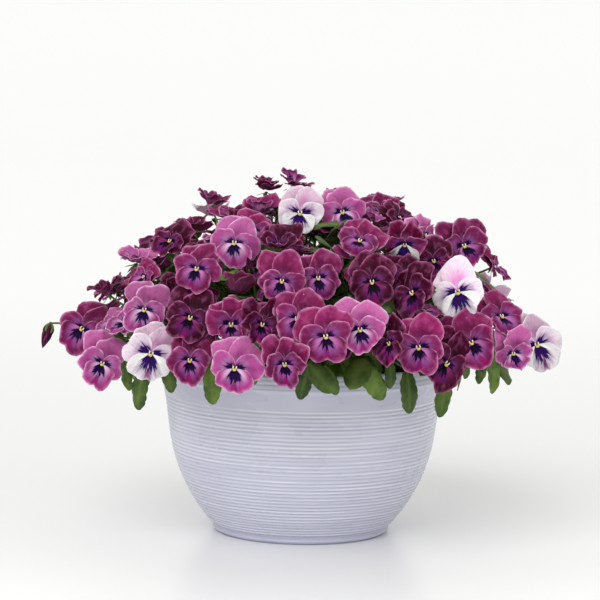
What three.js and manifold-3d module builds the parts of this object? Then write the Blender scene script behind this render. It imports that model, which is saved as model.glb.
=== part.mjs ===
// A bowl planter of garden pansies in full bloom: turned pot, potting soil, leafy stems and flower sprays.
// Millimetres, +Z up. The origin is at the middle of the pot's foot, and the front faces -Y.
import * as THREE from 'three';
import { mergeVertices } from 'three/addons/utils/BufferGeometryUtils.js';
import Module from 'manifold-3d';

const wasm = await Module();
wasm.setup();

// Driving dimensions of the pot and the soil
const rimRadius = 148;
const potHeight = 176;
const footRadius = 87;
const floorThickness = 6;
const potSides = 28;
const drainHole = { count: 4, radius: 6, ring: 52, sides: 6 };
const soilTop = 158;
const soilSides = 14;
const seat = 0.3;

// Driving dimensions of the plants: the dome that the blooms' eyes lie on, and what the blooms are made of
const dome = { radius: 222, height: 160, middle: 172 };
const bloomSize = 50;
const budSize = 18;
const petalThickness = 0.9;
const stalkRadius = 1.7;
const leafThickness = 0.9;
const leafLength = 44;

// The point from which the planter is looked at. A bloom on the near side is placed by where it shows on the
// upright plane through the pot's axis, seen from there; lean is the slight slope of that picture.
const sight = { away: 3000, high: 580, lean: 0.0175 };

// Petal colours of the three kinds of plant in the bowl, and the colours of all else
const finish = {
  pot: { color: '#bdbdcb', roughness: 0.42, metalness: 0 },
  soil: { color: '#3a2c22', roughness: 0.95, metalness: 0 },
  leaf: { color: '#50692a', roughness: 0.55, metalness: 0 },
  white: { color: '#e9dfe6', roughness: 0.6, metalness: 0 },
  lilac: { color: '#b868a4', roughness: 0.6, metalness: 0 },
  purple: { color: '#9a3a80', roughness: 0.6, metalness: 0 },
  wine: { color: '#6b1648', roughness: 0.6, metalness: 0 },
  bud: { color: '#3d1a33', roughness: 0.6, metalness: 0 },
};

// Solids and meshes

function solidOf(geometry) {
  geometry.deleteAttribute('normal');
  geometry.deleteAttribute('uv');
  const merged = mergeVertices(geometry, 1e-4);
  return new wasm.Manifold(new wasm.Mesh({
    numProp: 3,
    vertProperties: new Float32Array(merged.attributes.position.array),
    triVerts: new Uint32Array(merged.index.array),
  }));
}

function solidFrom(points, triangles) {
  const geometry = new THREE.BufferGeometry();
  geometry.setAttribute('position', new THREE.Float32BufferAttribute(points.flatMap((p) => p.toArray()), 3));
  geometry.setIndex(triangles.flat());
  return solidOf(geometry);
}

function meshOf(name, solid, look) {
  const { vertProperties, triVerts } = solid.getMesh();
  const geometry = new THREE.BufferGeometry();
  geometry.setAttribute('position', new THREE.Float32BufferAttribute(vertProperties, 3));
  geometry.setIndex(Array.from(triVerts));
  geometry.computeVertexNormals();
  const mesh = new THREE.Mesh(geometry, new THREE.MeshStandardMaterial({ ...look, flatShading: true }));
  mesh.name = name;
  return mesh;
}

// A seeded draw, the same on every run
function drawFrom(seed) {
  let state = seed;
  return () => {
    state = (state * 16807) % 2147483647;
    return state / 2147483647;
  };
}

const degrees = Math.PI / 180;
const upright = new THREE.Vector3(0, 0, 1);

// Pot: a turned bowl on a low foot, with a plain band and a lip

const potOutside = [
  [footRadius - 1, 0],
  [footRadius + 1.8, 7.6],
  [footRadius + 4, 8.8],
  [102, 26.4],
  [114, 48.6],
  [122.5, 68],
  [128.6, 88],
  [132.6, 110],
  [135.2, 127],
  [138, 141],
  [141.4, 150],
  [144.6, 160],
  [rimRadius - 0.4, 161.2],
  [rimRadius, 174],
  [rimRadius - 1.6, potHeight],
];
const potInside = [
  [rimRadius - 5.2, potHeight],
  [rimRadius - 6.4, 172],
  [140, soilTop],
  [129, 112],
  [118.5, 68],
  [88, floorThickness + 4],
  [78, floorThickness],
];

function turned(profile, sides) {
  const closed = [[0, profile[0][1]], ...profile, [0, profile.at(-1)[1]]];
  return solidOf(new THREE.LatheGeometry(closed.map(([r, z]) => new THREE.Vector2(r, z)), sides)
    .rotateX(Math.PI / 2));
}

function makePot() {
  const { count, radius, ring, sides } = drainHole;
  let pot = turned([...potOutside, ...potInside], potSides);
  for (let i = 0; i < count; i++) {
    const turn = (i + 0.5) * (2 * Math.PI / count);
    const cutter = new THREE.CylinderGeometry(radius, radius, 4 * floorThickness, sides)
      .rotateX(Math.PI / 2)
      .translate(ring * Math.cos(turn), ring * Math.sin(turn), 0);
    pot = pot.subtract(solidOf(cutter));
  }
  return meshOf('planter', pot, finish.pot);
}

// Blooms: where each is, which way it faces, and what petals it has

function lineOfSight(across, up) {
  const from = new THREE.Vector3(0, -sight.away, sight.high);
  const to = new THREE.Vector3(across, 0, up + across * sight.lean);
  return { from, ray: to.sub(from) };
}

// The near point where a line of sight meets the dome, or where it passes closest
function onDome({ from, ray }) {
  const [r2, h2] = [dome.radius ** 2, dome.height ** 2];
  const rise = from.z - dome.middle;
  const a = (ray.x ** 2 + ray.y ** 2) / r2 + ray.z ** 2 / h2;
  const b = 2 * ((from.x * ray.x + from.y * ray.y) / r2 + rise * ray.z / h2);
  const c = (from.x ** 2 + from.y ** 2) / r2 + rise ** 2 / h2 - 1;
  const reach = (-b - Math.sqrt(Math.max(0, b * b - 4 * a * c))) / (2 * a);
  return from.clone().addScaledVector(ray, reach);
}

function outward(point) {
  return new THREE.Vector3(
    point.x / dome.radius ** 2, point.y / dome.radius ** 2, (point.z - dome.middle) / dome.height ** 2,
  ).normalize();
}

// A bloom's own axes: ahead is where it faces, and its lower petal hangs down, or outwards if it faces up
function bloomAt(eye, ahead, slide, { kind, size, roll, wave, lift }) {
  const hang = upright.clone().addScaledVector(outward(eye), -0.35);
  const top = hang.addScaledVector(ahead, -hang.dot(ahead)).normalize();
  const side = top.clone().cross(ahead);
  const turn = roll * degrees;
  const up = top.clone().multiplyScalar(Math.cos(turn)).addScaledVector(side, Math.sin(turn));
  const right = up.clone().cross(ahead);
  return { eye: eye.clone().addScaledVector(slide, lift), ahead, up, right, slide, kind, size, wave, lift };
}

// Near side, as it shows: across, up, kind, size, yaw to the right, pitch upwards, roll clockwise, wave of
// the petal edges, and lift towards the eye over the neighbours. Each line is one spray.
const nearSprays = [
  [[-222, 203, 'purple', 52, -18, 0, 14, 0.8, 4], [-202, 168, 'lilac', 50, 10, -4, 0, 0.7, 10],
    [-255, 204, 'bud', 18, -45, -65, 0, 0, 0]],
  [[-160, 222, 'lilac', 50, -8, 4, -6, 0.8, 0], [-197, 240, 'wine', 40, -70, 50, 0, 0.6, -8]],
  [[-153, 178, 'white', 58, 0, -6, 2, 0.7, 12]],
  [[-170, 271, 'lilac', 46, -14, 62, 0, 0.8, 0], [-135, 291, 'wine', 44, -34, 22, 0, 0.7, 0]],
  [[-108, 263, 'purple', 50, -12, 14, 0, 0.7, 4], [-113, 303, 'wine', 40, -50, 60, 0, 0.6, -6]],
  [[-114, 214, 'wine', 52, -4, 4, 4, 0.7, 8], [-114, 171, 'purple', 48, 2, 0, -2, 0.6, 12]],
  [[-94, 329, 'purple', 38, -20, 76, 0, 0.8, 0], [-71, 289, 'lilac', 52, -4, 14, 0, 0.7, 6]],
  [[-53, 302, 'purple', 44, 10, 24, 10, 0.7, -6], [-46, 320, 'purple', 44, 0, 62, 0, 0.8, 2]],
  [[-69, 240, 'wine', 50, 0, 112, 0, 0.7, -4], [-54, 262, 'bud', 13, -20, 50, 0, 0, 0]],
  [[-73, 207, 'purple', 52, -2, 6, -8, 1.5, 4], [-42, 207, 'wine', 46, 8, 4, 8, 1.6, 2]],
  [[-69, 163, 'lilac', 54, 2, -2, 2, 0.8, 14], [-19, 167, 'purple', 48, 6, -4, -8, 1.5, 10]],
  [[-40, 343, 'wine', 38, 0, 96, 0, 0.7, 0], [-14, 348, 'purple', 38, 6, 84, 0, 0.7, 0]],
  [[-6, 319, 'white', 56, 0, 10, 0, 0.6, 8]],
  [[-27, 286, 'wine', 50, -2, 46, 0, 0.8, 2], [-23, 251, 'purple', 48, 0, 2, 6, 0.9, 8]],
  [[36, 320, 'lilac', 50, 14, 10, -6, 0.8, 4], [60, 316, 'lilac', 36, 60, 40, 0, 0.7, -8]],
  [[13, 254, 'purple', 48, 14, 4, -6, 0.8, 4], [54, 291, 'purple', 48, 4, 32, 30, 0.8, 4]],
  [[75, 321, 'purple', 44, 8, 26, 0, 0.7, 2], [93, 314, 'wine', 42, 52, 30, 0, 0.8, -6]],
  [[99, 288, 'white', 44, 6, -34, 10, 0.9, 4]],
  [[67, 250, 'wine', 52, 4, 2, 0, 0.6, 6], [98, 256, 'wine', 42, 20, 14, 20, 0.7, -10]],
  [[119, 297, 'lilac', 40, 58, 8, 0, 0.8, -4], [128, 271, 'wine', 44, 16, 10, 0, 0.7, -8]],
  [[158, 286, 'purple', 54, 20, 14, 4, 0.8, 4], [189, 265, 'purple', 38, 78, 14, 0, 0.7, 0]],
  [[108, 239, 'wine', 54, -34, 2, -14, 1.0, 6]],
  [[153, 240, 'white', 60, 0, 0, 0, 0.5, 10]],
  [[197, 215, 'purple', 54, 36, 26, 10, 0.8, 0], [168, 189, 'purple', 54, 2, 0, -10, 0.8, 6]],
  [[233, 187, 'white', 60, 26, -4, 2, 0.7, 4]],
  [[210, 178, 'lilac', 42, 18, -4, 16, 1.6, 10]],
  [[22, 195, 'purple', 54, 0, 4, -10, 0.7, 14], [-7, 213, 'lilac', 50, -6, 4, 6, 0.7, 2]],
  [[56, 202, 'lilac', 52, 4, 2, 2, 0.6, 8], [86, 188, 'wine', 44, -34, 2, -8, 0.8, 2]],
  [[115, 184, 'purple', 56, 0, 0, 0, 0.6, 14], [143, 168, 'wine', 58, 30, -12, 46, 1.0, 8]],
];

// Far side and flanks: rows round the dome, each with its height, how far round it goes and its bloom count
const farRows = [
  { up: 196, from: 102, to: 256, count: 10 },
  { up: 240, from: 98, to: 262, count: 8 },
  { up: 280, from: 96, to: 262, count: 7 },
  { up: 312, from: 112, to: 250, count: 4 },
];

function nearBlooms() {
  return nearSprays.map((spray) => spray.map(([across, up, kind, size, yaw, pitch, roll, wave, lift]) => {
    const view = lineOfSight(across, up);
    const slide = view.ray.clone().normalize().negate();
    const right = upright.clone().cross(slide).normalize();
    const top = slide.clone().cross(right);
    const [y, p] = [yaw * degrees, pitch * degrees];
    const ahead = slide.clone().multiplyScalar(Math.cos(y) * Math.cos(p))
      .addScaledVector(right, Math.sin(y) * Math.cos(p))
      .addScaledVector(top, Math.sin(p));
    return bloomAt(onDome(view), ahead, slide, { kind, size, roll, wave, lift });
  }));
}

function farBlooms(draw) {
  const kinds = ['purple', 'wine', 'lilac', 'purple', 'lilac', 'white', 'purple', 'bud'];
  const sprays = [];
  for (const row of farRows) {
    for (let i = 0; i < row.count; i++) {
      const round = row.from + (row.to - row.from) * (i + 0.5 + 0.3 * (draw() - 0.5)) / row.count;
      const up = row.up + 14 * (draw() - 0.5);
      const out = dome.radius * Math.sqrt(1 - ((up - dome.middle) / dome.height) ** 2);
      const eye = new THREE.Vector3(out * Math.sin(round * degrees), -out * Math.cos(round * degrees), up);
      const slide = outward(eye);
      const ahead = slide.clone().add(new THREE.Vector3(draw() - 0.5, draw() - 0.5, 0.5 * draw() - 0.05)
        .multiplyScalar(0.7)).normalize();
      const kind = kinds[Math.floor(draw() * kinds.length)];
      const bloom = bloomAt(eye, ahead, slide, {
        kind,
        size: (kind === 'bud' ? budSize : bloomSize) * (0.86 + 0.26 * draw()),
        roll: 40 * (draw() - 0.5),
        wave: 0.5 + draw() ** 2,
        lift: 10 * (draw() - 0.5),
      });
      if (i % 2 === 0) sprays.push([bloom]);
      else sprays.at(-1).push(bloom);
    }
  }
  return sprays;
}

// Blooms that would cross are slid apart along their own lines, the nearer one outwards
const fingers = [[0, 0, 0], [0, 0, -12], [0, 0, -22]];
for (const { count, reach } of [{ count: 6, reach: 0.42 }, { count: 12, reach: 0.9 }]) {
  for (let i = 0; i < count; i++) {
    const turn = i * 2 * Math.PI / count;
    fingers.push([reach * Math.cos(turn), reach * Math.sin(turn), 0]);
  }
}
const clearance = 11.3;

function feel({ eye, right, up, ahead, size }) {
  return fingers.map(([x, y, z]) => eye.clone()
    .addScaledVector(right, x * size / 2)
    .addScaledVector(up, y * size / 2)
    .addScaledVector(ahead, z));
}

function settle(blooms) {
  const order = blooms.map((bloom) => bloom.eye.clone());
  for (let round = 0; round < 60; round++) {
    const felt = blooms.map(feel);
    for (let i = 0; i < blooms.length; i++) {
      for (let j = i + 1; j < blooms.length; j++) {
        const [a, b] = [blooms[i], blooms[j]];
        if (a.eye.distanceTo(b.eye) > (a.size + b.size) / 2 + clearance) continue;
        let least = clearance;
        for (const p of felt[i]) for (const q of felt[j]) least = Math.min(least, p.distanceTo(q));
        if (least >= clearance) continue;
        const between = a.slide.clone().add(b.slide).normalize();
        const nearer = order[i].clone().sub(order[j]).dot(between) > 0 ? 1 : -1;
        const step = 0.3 * (clearance - least) * nearer;
        a.eye.addScaledVector(a.slide, step);
        b.eye.addScaledVector(b.slide, -step);
      }
    }
  }
}

// Petals of a pansy seen from its front: turn of the middle line, length in half sizes, how pinched its round
// outline is, how far it lies forward, and the turns of the two sides that it shares with its neighbours
const petals = [
  { part: 'side_right', turn: 4, length: 1.0, pinch: 0.62, level: 0, low: -43, high: 33 },
  { part: 'upper_right', turn: 62, length: 1.1, pinch: 0.5, level: -2.4, low: 33, high: 90 },
  { part: 'upper_left', turn: 118, length: 1.1, pinch: 0.5, level: -4.8, low: 90, high: 147 },
  { part: 'side_left', turn: 176, length: 1.0, pinch: 0.62, level: 0, low: 147, high: 223 },
  { part: 'lower', turn: 270, length: 0.98, pinch: 0.33, level: 2.6, low: 223, high: 317 },
];
const eyeRadius = 3.2;
const eyeFront = 1.5;
const eyeBack = -3;
const petalShoulder = 0.45;
const sharedGap = 3;
const petalOverlap = 12;
const marginWave = 1.5;

// How far a petal's surface stands forward at a turn and distance from the eye: a shallow dish whose margin
// is waved all round, so that petals that overlap wave together
function forward(bloom, turn, reach) {
  const out = reach / (bloom.size / 2);
  const dish = 3.4 * out - 3.6 * out ** 2;
  return dish + marginWave * bloom.wave * out ** 2 * Math.sin(3 * turn * degrees + 0.13 * bloom.size);
}

// A plain sharp-edged surface, gathered point by point
class Skin {
  constructor() {
    this.points = [];
    this.triangles = [];
  }

  add(point) {
    this.points.push(point);
    return this.points.length - 1;
  }

  face(...corners) {
    for (let i = 1; i < corners.length - 1; i++) {
      this.triangles.push([corners[0], corners[i], corners[i + 1]]);
    }
  }

  solid() {
    return solidFrom(this.points, this.triangles);
  }
}

// Three-sided rings along a stalk, from its top down, each turned as little as can be from the one before
const stalkSides = [90, 210, 330];

function stalkRings(bloom, curve, steps, radius) {
  let across = bloom.right.clone();
  const rings = [];
  for (let i = 0; i <= steps; i++) {
    const along = curve.getTangent(1 - i / steps);
    across = across.clone().addScaledVector(along, -across.dot(along)).normalize();
    const level = along.clone().cross(across);
    const middle = curve.getPoint(1 - i / steps);
    rings.push(stalkSides.map((turn) => middle.clone()
      .addScaledVector(across, radius * Math.cos(turn * degrees))
      .addScaledVector(level, radius * Math.sin(turn * degrees))));
  }
  return rings;
}

// Joins a stalk to the back of a flower whose rim has five corners, in order round from the first
function addStalk(skin, rim, bloom, curve, steps, radius = stalkRadius) {
  const rings = stalkRings(bloom, curve, steps, radius).map((ring) => ring.map((point) => skin.add(point)));
  const [t0, t1, t2] = rings[0];
  const [low, right, top, left, under] = rim;
  const collar = [
    [right, t0, top], [top, t0, left], [left, t0, t1], [left, t1, under],
    [under, t1, low], [low, t1, t2], [low, t2, right], [right, t2, t0],
  ];
  for (const [p, q, r] of collar) skin.face(p, q, r);
  for (let i = 0; i < steps; i++) {
    for (let k = 0; k < 3; k++) {
      const [p, q] = [rings[i][k], rings[i][(k + 1) % 3]];
      const [under0, under1] = [rings[i + 1][k], rings[i + 1][(k + 1) % 3]];
      skin.face(p, under0, under1, q);
    }
  }
  const end = rings[steps];
  skin.face(end[0], end[2], end[1]);
}

function bloomSolid(bloom, curve, steps) {
  const skin = new Skin();
  const half = bloom.size / 2;
  const place = (turn, reach, z) => skin.add(bloom.eye.clone()
    .addScaledVector(bloom.right, reach * Math.cos(turn * degrees))
    .addScaledVector(bloom.up, reach * Math.sin(turn * degrees))
    .addScaledVector(bloom.ahead, z));
  const corners = petals.map(({ low }) => [place(low, eyeRadius, eyeFront), place(low, eyeRadius, eyeBack)]);
  petals.forEach((petal, i) => {
    const edge = (turn, reach) => {
      const z = petal.level + forward(bloom, turn, reach);
      return [place(turn, reach, z), place(turn, reach, z - petalThickness)];
    };
    const rim = (turn) => edge(
      turn, half * petal.length * Math.cos((turn - petal.turn) * degrees) ** petal.pinch,
    );
    const outline = [
      corners[i],
      edge(petal.low + sharedGap, petalShoulder * half),
      rim(petal.low - petalOverlap),
      rim(petal.turn),
      rim(petal.high + petalOverlap),
      edge(petal.high - sharedGap, petalShoulder * half),
      corners[(i + 1) % petals.length],
    ];
    for (const [p, q, r] of [[0, 1, 5], [0, 5, 6], [1, 2, 3], [1, 3, 5], [3, 4, 5]]) {
      skin.face(outline[p][0], outline[q][0], outline[r][0]);
      skin.face(outline[p][1], outline[r][1], outline[q][1]);
    }
    for (let k = 0; k < outline.length - 1; k++) {
      const [p, q] = [outline[k], outline[k + 1]];
      skin.face(p[0], p[1], q[1], q[0]);
    }
  });
  skin.face(...corners.map(([front]) => front));
  addStalk(skin, corners.map(([, back]) => back), bloom, curve, steps);
  return skin.solid();
}

// A bud is a closed spindle: calyx, rolled petals and a tip
function budSolid(bud, curve, steps) {
  const skin = new Skin();
  const ring = (radius, z) => petals.map(({ low }) => skin.add(bud.eye.clone()
    .addScaledVector(bud.right, radius * Math.cos(low * degrees))
    .addScaledVector(bud.up, radius * Math.sin(low * degrees))
    .addScaledVector(bud.ahead, z)));
  const calyx = ring(0.2 * bud.size, eyeBack);
  const shoulder = ring(0.27 * bud.size, 0.45 * bud.size);
  const tip = skin.add(bud.eye.clone().addScaledVector(bud.ahead, 1.25 * bud.size));
  calyx.forEach((corner, i) => {
    const next = (i + 1) % calyx.length;
    skin.face(corner, calyx[next], shoulder[next], shoulder[i]);
    skin.face(shoulder[i], shoulder[next], tip);
  });
  addStalk(skin, calyx, bud, curve, steps);
  return skin.solid();
}

// Stalks: each spray stands in its own hole in the soil and forks to its blooms

function foot(spray) {
  const middle = new THREE.Vector3();
  for (const { eye } of spray) middle.addScaledVector(eye, 1 / spray.length);
  const out = Math.hypot(middle.x, middle.y);
  const fall = Math.atan2(out / dome.radius, (middle.z - dome.middle) / dome.height) / (90 * degrees);
  const reach = (12 + 86 * fall) / out;
  return new THREE.Vector3(middle.x * reach, middle.y * reach, soilTop);
}

const footSpacing = 11;

function spread(feet) {
  for (let round = 0; round < 40; round++) {
    for (let i = 0; i < feet.length; i++) {
      for (let j = i + 1; j < feet.length; j++) {
        const apart = feet[i].clone().sub(feet[j]);
        const short = footSpacing - apart.length();
        if (short <= 0) continue;
        apart.setLength(short / 2);
        feet[i].add(apart);
        feet[j].sub(apart);
      }
    }
  }
}

const holeDepth = 12;
const mainSteps = 4;
const sideSteps = 3;

function crook({ eye, ahead, kind }) {
  const inside = outward(eye).negate();
  const back = kind === 'bud' ? 10 : 20;
  return eye.clone().addScaledVector(ahead, -back).addScaledVector(inside, 0.6 * back);
}

function mainStalk(base, bloom) {
  const rise = base.clone().setZ(soilTop + 30 + 0.3 * (bloom.eye.z - soilTop));
  return new THREE.CubicBezierCurve3(base.clone().setZ(soilTop - holeDepth), rise, crook(bloom),
    bloom.eye.clone().addScaledVector(bloom.ahead, eyeBack - 1.5));
}

function sideStalk(main, bloom) {
  const behind = crook(bloom);
  return new THREE.CubicBezierCurve3(main.getPoint(0.3), main.getPoint(0.55).lerp(behind, 0.2), behind,
    bloom.eye.clone().addScaledVector(bloom.ahead, eyeBack - 1.5));
}

// The plain hole that a stalk stands in has the stalk's own slant, a little wider and a little deeper
function stalkHole(bloom, curve) {
  const skin = new Skin();
  const [above, below] = stalkRings(bloom, curve, mainSteps, stalkRadius + 3 * seat).slice(-2)
    .map((ring) => ring.map((point) => skin.add(point.setZ(point.z - seat))));
  for (let k = 0; k < 3; k++) skin.face(above[k], below[k], below[(k + 1) % 3], above[(k + 1) % 3]);
  skin.face(...above);
  skin.face(below[0], below[2], below[1]);
  return skin.solid();
}

// Pieces grown together: a hollow that they seal is filled, a loose scrap is dropped and slivers are merged
const sliver = 0.06;

function wholeOf(solids) {
  const whole = wasm.Manifold.union(solids).simplify(sliver);
  return whole.decompose().reduce((p, q) => (q.volume() > p.volume() ? q : p));
}

function spraySolid(spray, main) {
  return wholeOf(spray.map((bloom, i) => {
    const make = bloom.kind === 'bud' ? budSolid : bloomSolid;
    return i === 0 ? make(bloom, main, mainSteps) : make(bloom, sideStalk(main, bloom), sideSteps);
  }));
}

// Leafy stems: an outer ring that leans towards the rim and an inner ring that rises among the blooms. Each
// is turned from its even place by as little as keeps it clear of the stalks.
const stemRings = [
  { count: 8, ring: 114, rise: 38, lean: 14, start: 22 },
  { count: 4, ring: 50, rise: 84, lean: 26, start: 45 },
];
const stemRadius = 2.4;
const stemSteps = 2;
const stemRoom = 7;
const stemShifts = [0, 3, -3, 6, -6, 9, -9, 12, -12, 15, -15, 18, -18];

function around(turn, out, up) {
  return new THREE.Vector3(out * Math.sin(turn * degrees), -out * Math.cos(turn * degrees), up);
}

function stemCurve(turn, { ring, rise, lean }) {
  return new THREE.QuadraticBezierCurve3(around(turn, ring, soilTop - holeDepth),
    around(turn, ring, soilTop + 0.5 * rise), around(turn, ring + lean, soilTop + rise));
}

// A point on the upper of a stem's straight steps
function onStem({ curve }, share) {
  return curve.getPoint(0.5).lerp(curve.getPoint(1), share);
}

function placeStems(stalkPoints) {
  const stems = [];
  for (const form of stemRings) {
    for (let i = 0; i < form.count; i++) {
      const even = form.start + (360 / form.count) * i;
      const choices = stemShifts.map((shift) => {
        const curve = stemCurve(even + shift, form);
        return { curve, leaves: [], room: nearest(curve.getPoints(12), stalkPoints) };
      });
      const clear = choices.find(({ room }) => room > stemRoom);
      stems.push(clear ?? choices.reduce((p, q) => (q.room > p.room ? q : p)));
    }
  }
  return stems;
}

function nearest(these, those) {
  let least = Infinity;
  for (const p of these) for (const q of those) least = Math.min(least, p.distanceTo(q));
  return least;
}

// A leaf blade runs from its petiole to a blunt tip, with shallow rounded teeth: share of the length from the
// base, and share of the half width there
const bladeOutline = [[0.3, 0.8], [0.55, 1], [0.62, 0.84], [0.86, 0.72]];
const petioleHalf = 1.25;

function leafFrame({ from, base, tip, face }) {
  const along = tip.clone().sub(base);
  const length = along.length();
  along.normalize();
  const normal = face.clone().addScaledVector(along, -face.dot(along)).normalize();
  return { from, base, along, normal, across: along.clone().cross(normal), length };
}

function bladePoint(frame, share, sideways) {
  const arch = 0.36 * frame.length * share * (1 - share);
  return frame.base.clone()
    .addScaledVector(frame.along, share * frame.length)
    .addScaledVector(frame.across, sideways)
    .addScaledVector(frame.normal, arch - 0.012 * sideways ** 2);
}

function petioleMiddle({ from, base, along }) {
  return from.clone().lerp(base, 0.55).addScaledVector(along, -0.12 * from.distanceTo(base)).setZ(
    Math.max(from.z, base.z) + 2,
  );
}

function leafPoints(leaf) {
  const frame = leafFrame(leaf);
  const points = [];
  for (let i = 0; i <= 8; i++) {
    const share = i / 8;
    const half = 0.45 * leaf.width * Math.sqrt(Math.sin(Math.PI * Math.min(0.97, share + 0.08)));
    for (const side of [-1, 0, 1]) points.push(bladePoint(frame, share, side * half));
  }
  const middle = petioleMiddle(frame);
  const stalk = [];
  for (let i = 1; i <= 6; i++) {
    stalk.push(leaf.from.clone().lerp(middle, i / 6), middle.clone().lerp(leaf.base, i / 7));
  }
  return { blade: points, petiole: stalk.slice(1) };
}

function leafSolid(leaf) {
  const skin = new Skin();
  const frame = leafFrame(leaf);
  const half = leaf.width / 2;
  const middle = petioleMiddle(frame);
  const pair = (left, right, lift) => [left, right].map((point) => (
    [skin.add(point.clone().add(lift)), skin.add(point)]
  ));
  const petioleRow = (point, direction) => {
    const side = frame.across.clone().addScaledVector(direction, -frame.across.dot(direction)).normalize();
    const lift = side.clone().cross(direction).multiplyScalar(leafThickness);
    side.multiplyScalar(petioleHalf);
    return pair(point.clone().sub(side), point.clone().add(side), lift);
  };
  const rise = middle.clone().sub(leaf.from).normalize();
  const reach = leaf.base.clone().sub(middle).normalize();
  const lift = frame.normal.clone().multiplyScalar(leafThickness);
  const rows = [
    petioleRow(leaf.from, rise),
    petioleRow(middle, rise.clone().add(reach).normalize()),
    petioleRow(leaf.base, reach.clone().add(frame.along).normalize()),
    ...bladeOutline.map(([share, wide]) => pair(
      bladePoint(frame, share, -wide * half), bladePoint(frame, share, wide * half), lift,
    )),
  ];
  const tip = bladePoint(frame, 1, 0);
  const [tipFront, tipBack] = [skin.add(tip.clone().add(lift)), skin.add(tip)];
  for (let i = 0; i < rows.length - 1; i++) {
    const [[l0, l0b], [r0, r0b]] = rows[i];
    const [[l1, l1b], [r1, r1b]] = rows[i + 1];
    skin.face(l0, r0, r1);
    skin.face(l0, r1, l1);
    skin.face(l0b, r1b, r0b);
    skin.face(l0b, l1b, r1b);
    skin.face(l0, l1, l1b, l0b);
    skin.face(r0, r0b, r1b, r1);
  }
  const [[l0, l0b], [r0, r0b]] = rows[0];
  skin.face(l0, l0b, r0b, r0);
  const [[l1, l1b], [r1, r1b]] = rows.at(-1);
  skin.face(l1, r1, tipFront);
  skin.face(l1b, tipBack, r1b);
  skin.face(l1, tipFront, tipBack, l1b);
  skin.face(r1, r1b, tipBack, tipFront);
  return skin.solid();
}

// Leaves that show below the blooms on the near side: where the blade starts and ends as seen, its width, and
// how far from the pot's axis it hangs
const hangingLeaves = [
  [-192, 210, -179, 168, 22, 200],
  [-176, 172, -174, 140, 14, 180],
  [-157, 166, -165, 121, 19, 178],
  [-136, 172, -131, 138, 16, 176],
  [-90, 172, -90, 126, 19, 176],
  [-50, 166, -49, 146, 10, 164],
  [6, 170, -3, 131, 16, 178],
  [21, 166, 34, 136, 13, 168],
  [58, 168, 81, 131, 21, 180],
  [86, 172, 87, 142, 12, 174],
  [103, 162, 107, 117, 18, 172],
  [142, 160, 137, 113, 18, 180],
  [179, 172, 175, 147, 12, 186],
  [188, 184, 190, 137, 15, 194],
];

function onBarrel({ from, ray }, radius) {
  const a = ray.x ** 2 + ray.y ** 2;
  const b = 2 * (from.x * ray.x + from.y * ray.y);
  const c = from.x ** 2 + from.y ** 2 - radius ** 2;
  const reach = (-b - Math.sqrt(Math.max(0, b * b - 4 * a * c))) / (2 * a);
  return from.clone().addScaledVector(ray, reach);
}

// A leaf grows from the nearest place on a stem that leaves its petiole and its blade clear of the rest
const petioleReach = 85;
const heights = [0.15, 0.4, 0.65, 0.9];
const sharpest = { fold: -0.5, side: 0.85 };
const leafRoom = { bloom: 9.4, stalk: 7.8, petiole: 5.8, leaf: 7 };

// Whether a petiole runs on into its blade without folding back or lying edge on
function unfolded(leaf) {
  const { from, base, along, across } = leafFrame(leaf);
  const middle = petioleMiddle({ from, base, along });
  const parts = [middle.clone().sub(from).normalize(), base.clone().sub(middle).normalize()];
  const joined = parts[0].dot(parts[1]) > sharpest.fold && parts[1].dot(along) > sharpest.fold;
  return joined && parts.every((part) => Math.abs(part.dot(across)) < sharpest.side);
}

function grow(leaf, stems, bloomPoints, stalkPoints) {
  const near = (points) => points.filter((point) => point.distanceTo(leaf.base) < 110);
  const things = near([...bloomPoints, ...stalkPoints]);
  const choices = stems
    .flatMap((stem) => heights.map((share) => ({ stem, from: onStem(stem, share) })))
    .map((choice) => ({ ...choice, reach: choice.from.distanceTo(leaf.base) }))
    .filter(({ from, reach }) => reach < petioleReach && unfolded({ ...leaf, from }))
    .sort((p, q) => p.reach - q.reach);
  for (const { stem, from } of choices) {
    const { blade, petiole } = leafPoints({ ...leaf, from });
    const others = stems.filter((other) => other !== stem);
    const otherStems = near(others.flatMap(({ curve }) => curve.getPoints(10)));
    const otherLeaves = near(others.flatMap(({ leaves }) => leaves.flatMap(({ points }) => points)));
    if (nearest(petiole, things) < leafRoom.petiole) continue;
    if (nearest([...blade, ...petiole], otherStems) < leafRoom.stalk) continue;
    if (nearest([...blade, ...petiole], otherLeaves) < leafRoom.leaf) continue;
    if (nearest(blade, near(stem.leaves.flatMap(({ points }) => points))) < leafRoom.leaf) continue;
    stem.leaves.push({ ...leaf, from, points: [...blade, ...petiole] });
    return true;
  }
  return false;
}

function nearLeaves() {
  return hangingLeaves.map(([across, up, tipAcross, tipUp, width, out]) => {
    const base = onBarrel(lineOfSight(across, up), out);
    const tip = onBarrel(lineOfSight(tipAcross, tipUp), out);
    return { base, tip, face: new THREE.Vector3(base.x, base.y, 0.2 * out), width };
  });
}

// The other leaves are tried at random places, hanging round the far side of the rim or filling the room
// under the blooms, and each is kept only where it is clear of what is there
const farHanging = 11;
const filling = 22;
const tries = 6000;

function hangingLeaf(draw) {
  const turn = 70 + 220 * draw();
  const out = 166 + 24 * draw();
  const swing = 0.5 * (draw() - 0.5);
  const length = leafLength * (0.8 + 0.35 * draw());
  const base = around(turn, out, 184 + 10 * draw());
  const down = around(turn + 90, swing, -1).normalize();
  const tip = base.clone().addScaledVector(down, length);
  return { base, tip, face: around(turn, 1, 0.2), width: 0.46 * length };
}

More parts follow.
